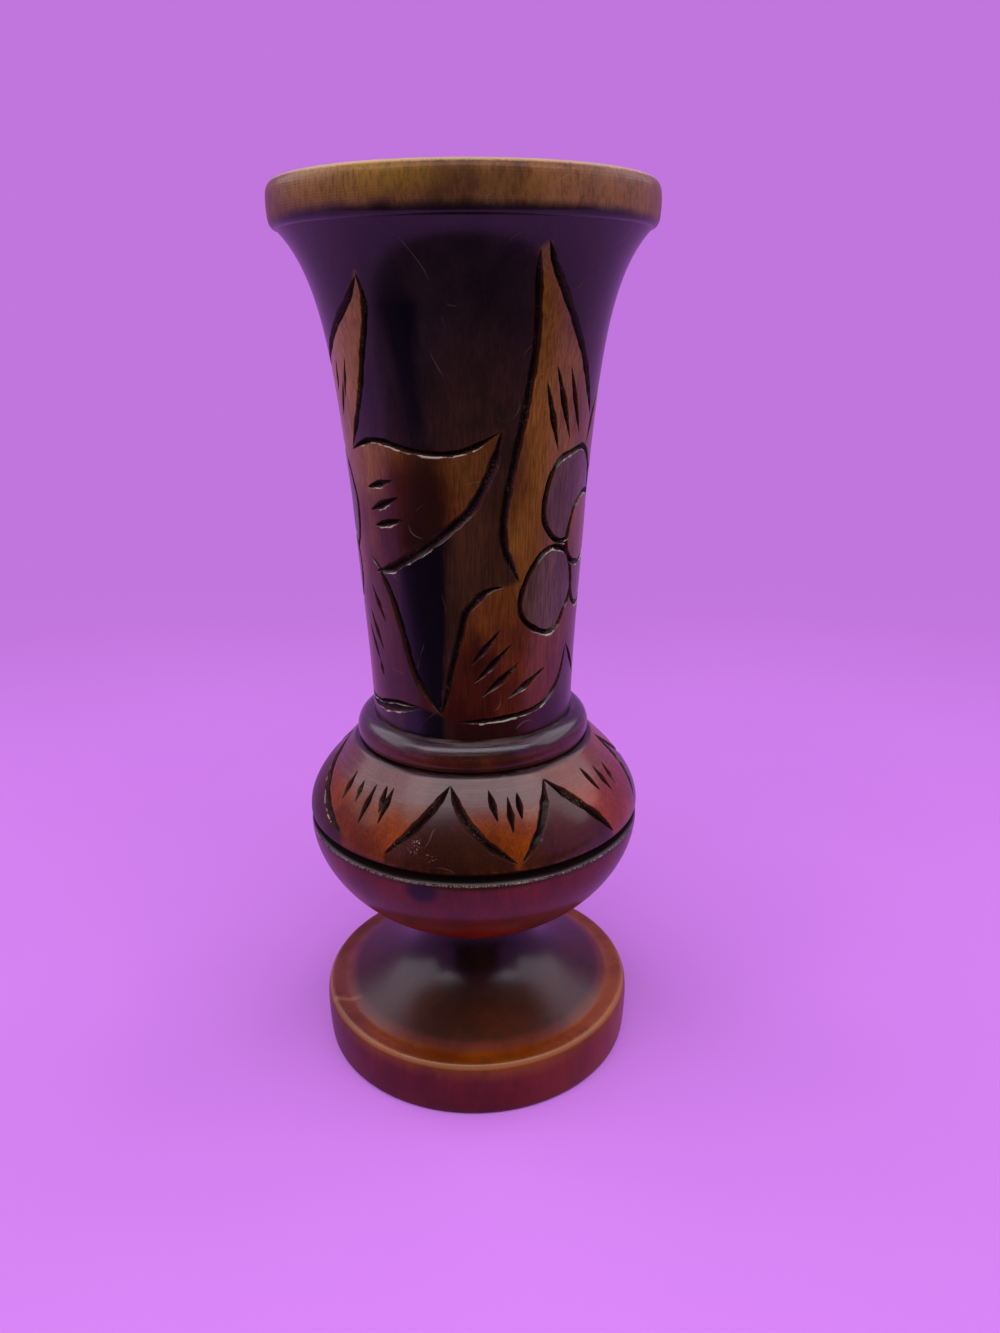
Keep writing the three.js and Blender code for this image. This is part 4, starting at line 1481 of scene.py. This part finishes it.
bowl_piece.data.materials.append(bowl_finish())
print("lower cup's material:", len(bowl_piece.data.materials[0].node_tree.nodes), "nodes")

# %% [markdown]
# ### The ring's finish
#
# The ring is the glossiest and darkest piece, browner on its lower half and redder on the
# right. Sandpaper left fine rings on its crown, and they catch the light as broken lines.
# An anisotropic shader stretches a shine evenly, so the broken lines are drawn instead, as
# pale and raised scratches.

# %% Ring's material
CROWN, UNDERSIDE_SHADE = ((40, 18, 20), (22, 9, 11)), (12, 5, 6)
RING_BROWN, RING_RED = ((80, 28, 6), (52, 14, 4)), ((96, 28, 22), (64, 16, 14))
SANDED_CROWN_GLINT = (112, 90, 86)


def ring_finish():
    """Dark, sanded and glossy."""
    wood = Wood("ring_wood")
    brown = wood.mix(wood.side(5, 45, 110, 160), wood.stain(RING_BROWN), wood.stain(RING_RED))
    upper = wood.ramp(wood.height + 1.2 * (wood.cloud - 0.5), ring.low + 3.2, ring.low + 5.6)
    colour = wood.mix(upper, brown, wood.stain(CROWN))
    # The underside in the undercut is painted nearly black as shade.
    underside = wood.ramp(wood.height, ring.low + 0.9, ring.low + 0.2)
    colour = wood.mix(underside, colour, srgb(*UNDERSIDE_SHADE))
    scratches = wood.sanding()
    # Sanding rings on the crown painted pale as glints.
    colour = wood.mix(scratches * upper * 0.3, colour, srgb(*SANDED_CROWN_GLINT))
    texture = wood.relief(turning=0.02, grit=0.07, pitch=0.8) + scratches * 0.1
    return wood.finish(colour, 0.34, COAT + 0.1, texture)


ring_piece.data.materials.append(ring_finish())
print("ring's material:", len(ring_piece.data.materials[0].node_tree.nodes), "nodes")

# %% [markdown]
# ### The foot's finish
#
# The foot's side is a smooth maroon, browner near the top and more orange on the right. Its
# flat lip is amber and ends in a reddish crease, from which the dark brown cove rises; the
# cove is painted darker towards the waist, as shade under the belly. The edge between side
# and lip is painted a little paler, partly as wear and partly as a painted highlight. On the
# front left the lip has a short drying split, and the wood beyond it is a browner, older
# shade. The split is finer than a knife cut and has closed again, so it is only drawn in the
# colour.

# %% Foot's sides, lip and cove
SIDE_MAROON, SIDE_RIGHT = ((96, 16, 12), (74, 10, 9)), ((140, 46, 18), (114, 34, 12))
SIDE_TOP, LIP_AMBER = ((118, 52, 18), (94, 38, 14)), ((104, 44, 2), (82, 30, 2))
LIP_RIGHT, LIP_SPOT = ((144, 70, 18), (118, 50, 12)), ((132, 62, 20), (100, 40, 12))
COVE_LOW, COVE_HIGH_SHADE = ((58, 20, 4), (40, 12, 3)), ((32, 7, 3), (20, 4, 2))
CREASE_RED, OLDER_WOOD = ((82, 28, 14), (62, 18, 10)), ((112, 50, 32), (84, 33, 22))
SPLIT, EDGE_WEAR_AND_HIGHLIGHT = (158, 104, 70), (190, 136, 90)
SPLIT_AZIMUTH, SPLIT_SLANT = -71.5, 0.85


def foot_sides(wood, on_top):
    """The side below the edge, the lip, and the cove inside the crease."""
    side = wood.mix(wood.side(5, 60, 110, 160) * 0.6, wood.stain(SIDE_MAROON, 0.12),
                    wood.stain(SIDE_RIGHT, 0.12))
    high_up = wood.ramp(wood.height + 3 * (wood.cloud - 0.5), 9.0, 12.8)
    side = wood.mix(high_up * 0.7, side, wood.stain(SIDE_TOP, 0.12))
    lip = wood.mix(wood.side(15, 60, 110, 160) * 0.8, wood.stain(LIP_AMBER, 0.25),
                   wood.stain(LIP_RIGHT, 0.25))
    lip = wood.mix(wood.patch(-60, 14, 36, 30) * 0.6, lip, wood.stain(LIP_SPOT))
    colour = wood.mix(on_top, side, lip)
    past_crease = wood.radius - (lip_crease[0] - 0.2) - 1.2 * (wood.cloud - 0.5)
    red = wood.ramp(past_crease, 0.6, -1.2) * on_top
    colour = wood.mix(red * 0.85, colour, wood.stain(CREASE_RED, 0.2))
    # Darker towards the waist: painted shade under the belly.
    up_cove = wood.ramp(wood.height, 16, 25)
    cove = wood.mix(up_cove, wood.stain(COVE_LOW, 0.3), wood.stain(COVE_HIGH_SHADE, 0.3))
    return wood.mix(wood.ramp(past_crease, -1.2, -3.4) * on_top, colour, cove)


def add_split(wood, colour, on_top):
    """The drying split across the lip, and the older wood beyond it."""
    slant = SPLIT_SLANT * (foot.radius - 0.9 - wood.radius)
    past_split = wood.azimuth - SPLIT_AZIMUTH - slant + 2 * (wood.blotch - 0.5)
    lip_only = on_top * wood.ramp(wood.radius, 31.5, 34.5)
    older = wood.ramp(past_split, 0.4, -0.6) * wood.ramp(wood.azimuth, -112, -92) * lip_only
    colour = wood.mix(older * 0.75, colour, wood.stain(OLDER_WOOD, 0.3))
    split = wood.ramp(wood.math("ABSOLUTE", past_split - 0.8), 2.2, 0.0) * lip_only
    return wood.mix(split * 0.4, colour, srgb(*SPLIT))


print("the split starts at azimuth", SPLIT_AZIMUTH)

# %% [markdown]
# ### The whole foot
#
# The foot has the thinnest lacquer, which blurs its reflections more than elsewhere. Only
# its lip is a little glossier. Side, lip and cove are told apart by height and by distance
# from the axis, as on a turning nothing else is needed.

# %% Foot's material
def foot_finish():
    """Maroon side, amber lip, a dark cove painted darker as shade towards the waist, and an edge
    painted pale as wear and highlight.
    """
    wood = Wood("foot_wood")
    on_top = wood.ramp(wood.height, disc_top - 1.4, disc_top - 0.1)
    colour = add_split(wood, foot_sides(wood, on_top), on_top)
    # The pale edge is partly wear and partly a painted highlight.
    edge = wood.ramp(wood.height, disc_top - 1.4, disc_top - 0.7)
    edge = edge * wood.ramp(wood.height, disc_top + 0.2, disc_top - 0.4)
    edge = edge * wood.ramp(wood.radius, foot.radius - 1.5, foot.radius - 0.9)
    colour = wood.mix(edge * 0.22, colour, srgb(*EDGE_WEAR_AND_HIGHLIGHT))
    texture = wood.relief(turning=0.008, grit=0.016)
    return wood.finish(colour, 0.44, COAT * (0.6 + 0.25 * on_top), texture, coat_roughness=0.26)


foot_piece.data.materials.append(foot_finish())
print("foot's material:", len(foot_piece.data.materials[0].node_tree.nodes), "nodes")

# %% [markdown]
# ## Standing for the CAD pieces
#
# Each new piece rides on the vase's one body and hides the plain CAD solid that it stands for.

# %% Ride and replace
PIECES = [
    (foot_piece, "foot", "foot_wood"),
    (bowl_piece, "belly_lower", "bowl_wood"),
    (shoulder_piece, "belly_upper", "shoulder_wood"),
    (ring_piece, "collar_ring", "ring_wood"),
    (neck_piece, "neck", "neck_wood"),
]
for piece, node, slot in PIECES:
    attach(piece, "root")
    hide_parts(node)
    print(piece.name, "stands for", node)

# %% [markdown]
# ## The paper that the vase stands on
#
# The vase stands on a sheet of lilac paper, as in the photograph, which lends its dark wood
# a purple shine. A curved studio sheet could be modelled, but a flat one does the same from
# every side: close by it is lit and holds the vase's shadow, and further out it fades into
# the colour of the backdrop. The camera, glass and reflections see the lilac. Light that
# bounces off the paper finds a grey instead, so that it doesn't dye the wood.

# %% Lilac paper
BACKDROP = srgb(192, 118, 220)
PAPER_DARK, PAPER_PALE, PAPER_BOUNCE = srgb(188, 114, 214), srgb(194, 120, 219), srgb(150, 146, 150)
# Half the floor's width in metres, and the distances in millimetres over which it fades.
FLOOR_HALF = 3.0
FADE_FROM, FADE_TO = 150, 600


def sheet(name, corners, faces):
    """A flat prop that belongs to the stage and not to the vase."""
    mesh = bpy.data.meshes.new(name)
    mesh.from_pydata(corners, [], faces)
    prop = bpy.data.objects.new(name, mesh)
    bpy.context.scene.collection.objects.link(prop)
    return prop


def matt(graph, colour):
    """A surface without any shine."""
    sockets = {"Base Color": colour, "Roughness": 1.0, "Specular IOR Level": 0.0}
    return graph.node("ShaderNodeBsdfPrincipled", None, sockets)


floor = sheet("floor", [(-FLOOR_HALF, -FLOOR_HALF, 0), (FLOOR_HALF, -FLOOR_HALF, 0),
                        (FLOOR_HALF, FLOOR_HALF, 0), (-FLOOR_HALF, FLOOR_HALF, 0)], [(0, 1, 2, 3)])
paper = Finish("lilac_paper")
paper_colour = paper.mix(paper.noise((9, 9, 9), 2), PAPER_DARK, PAPER_PALE)
lit_paper = matt(paper, paper.mix(paper.seen(), PAPER_BOUNCE, paper_colour))
far_paper = paper.node("ShaderNodeEmission", None, {"Color": BACKDROP, "Strength": 1.0})
fade = paper.ramp(paper.radius, FADE_FROM, FADE_TO) * paper.seen()
paper_surface = paper.node("ShaderNodeMixShader", None, {0: fade, 1: lit_paper, 2: far_paper})
paper.node("ShaderNodeOutputMaterial", None, {"Surface": paper_surface})
floor.data.materials.append(paper.material)
print("paper", 2 * FLOOR_HALF, "m wide, fading from", FADE_FROM, "to", FADE_TO, "mm")

# %% [markdown]
# ## The dark side of the room
#
# The room behind the camera is dark, and that is what the front of the vase reflects. A
# bent screen of dark felt stands in for it: it lies on the paper in front of the vase and
# rises behind the camera. Only reflections can see it, so it shades nothing.

# %% Dark screen
# In metres, like everything on the stage.
SCREEN_HALF, SCREEN_FRONT, SCREEN_BACK, SCREEN_TOP = 0.7, -0.12, -0.8, 1.0
SCREEN_LIFT = 0.002
profile = [(SCREEN_FRONT, SCREEN_LIFT), (SCREEN_BACK, SCREEN_LIFT), (SCREEN_BACK, SCREEN_TOP)]
screen_corners = [(x, y, z) for y, z in profile for x in (-SCREEN_HALF, SCREEN_HALF)]
screen = sheet("dark_screen", screen_corners, [(0, 1, 3, 2), (2, 3, 5, 4)])
screen.visible_camera = screen.visible_diffuse = screen.visible_shadow = False
felt = Finish("dark_felt")
felt.node("ShaderNodeOutputMaterial", None, {"Surface": matt(felt, srgb(40, 30, 44))})
screen.data.materials.append(felt.material)
print("screen behind the camera at y =", SCREEN_BACK, "m")

# %% [markdown]
# ## The world
#
# As a light, the world is a plain pale grey, which fills the shadows evenly. Where a
# camera, a reflection or glass looks at it, it has the colour of the paper's far end, so
# the two meet without a line.

# %% World
AMBIENT = 0.75
world = bpy.data.worlds.new("studio")
bpy.context.scene.world = world
world.use_nodes = True
sky = Graph(world.node_tree)
ambient = sky.node("ShaderNodeBackground", None, {"Color": srgb(196, 196, 200), "Strength": AMBIENT})
backdrop = sky.node("ShaderNodeBackground", None, {"Color": BACKDROP, "Strength": 1.0})
room = sky.node("ShaderNodeMixShader", None, {0: sky.seen(), 1: ambient, 2: backdrop})
sky.node("ShaderNodeOutputWorld", None, {"Surface": room})
print("world light of strength", AMBIENT)

# %% [markdown]
# ## The lamps
#
# The glows in the photograph tell where its light came from. Each spot on the wood mirrors
# one direction towards the camera, and the bright ones mirror a wide strip overhead, with
# a wing on each side that comes down lower and a little behind the vase. Three soft boxes
# stand there. A fourth, by the camera, fills the front evenly and makes no glow of its own.

# %% Lamps
LAMP_TARGET = Vector((0, 0, 0.08))


def softbox(name, position, wide, tall, watts, glow=True):
    """An oblong area lamp that faces the vase; glow=False keeps it out of reflections."""
    lamp = bpy.data.lights.new(name, "AREA")
    lamp.shape, lamp.size, lamp.size_y, lamp.energy = "RECTANGLE", wide, tall, watts
    holder = bpy.data.objects.new(name, lamp)
    holder.visible_glossy = glow
    bpy.context.scene.collection.objects.link(holder)
    aim = LAMP_TARGET - Vector(position)
    holder.location = position
    holder.rotation_euler = aim.to_track_quat("-Z", "Y").to_euler()
    print(f"{name}: {watts} W, {aim.length:.2f} m from the vase")


softbox("overhead", (0.0, -0.28, 0.7), 1.2, 0.26, 4.2)
softbox("left_wing", (-0.64, 0.17, 0.6), 0.8, 0.5, 2.8)
softbox("right_wing", (0.64, 0.17, 0.6), 0.8, 0.5, 2.6)
softbox("front_fill", (0.0, -0.9, 0.35), 0.8, 0.6, 2.0, glow=False)

# %% [markdown]
# ## The camera
#
# The camera stands where the photograph was taken: close by, a little below the rim and
# tilted down. Its lens and tilt were worked out from the ellipses of the rim, the ring and
# the foot. The rotation is built from three turns, and then flipped, because Blender's
# camera looks along its own -Z with Y up.

# %% Camera
YAW, PITCH, ROLL = math.radians(-1.685), math.radians(19.401), math.radians(-0.392)
EYE = (0.0, -0.2261, 0.1778)
IMAGE_HEIGHT, FOCAL_PIXELS, SENSOR = 1333, 1000, 36.0
turn_aside = Matrix.Rotation(-YAW, 3, "Z")
tip_down = Matrix(((1, 0, 0),
                   (0, -math.sin(PITCH), -math.cos(PITCH)),
                   (0, math.cos(PITCH), -math.sin(PITCH))))
lean = Matrix.Rotation(ROLL, 3, "Z")
world_to_image = lean @ tip_down @ turn_aside
image_to_camera = Matrix(((1, 0, 0), (0, -1, 0), (0, 0, -1)))
world_to_camera = image_to_camera @ world_to_image

camera_data = bpy.data.cameras.new("camera")
camera_data.sensor_width = SENSOR
camera_data.lens = SENSOR * FOCAL_PIXELS / IMAGE_HEIGHT
camera_data.clip_start = 0.01
camera = bpy.data.objects.new("camera", camera_data)
camera.matrix_world = Matrix.Translation(EYE) @ world_to_camera.transposed().to_4x4()
bpy.context.scene.collection.objects.link(camera)
bpy.context.scene.camera = camera
bpy.context.scene.view_settings.view_transform = "Standard"
print("camera at", EYE, "lens", round(camera_data.lens, 2))

# %% [markdown]
# ## The size
#
# The carving only takes wood away, so the dressed vase has to fill the same box as the
# plain one. Both boxes are kept.
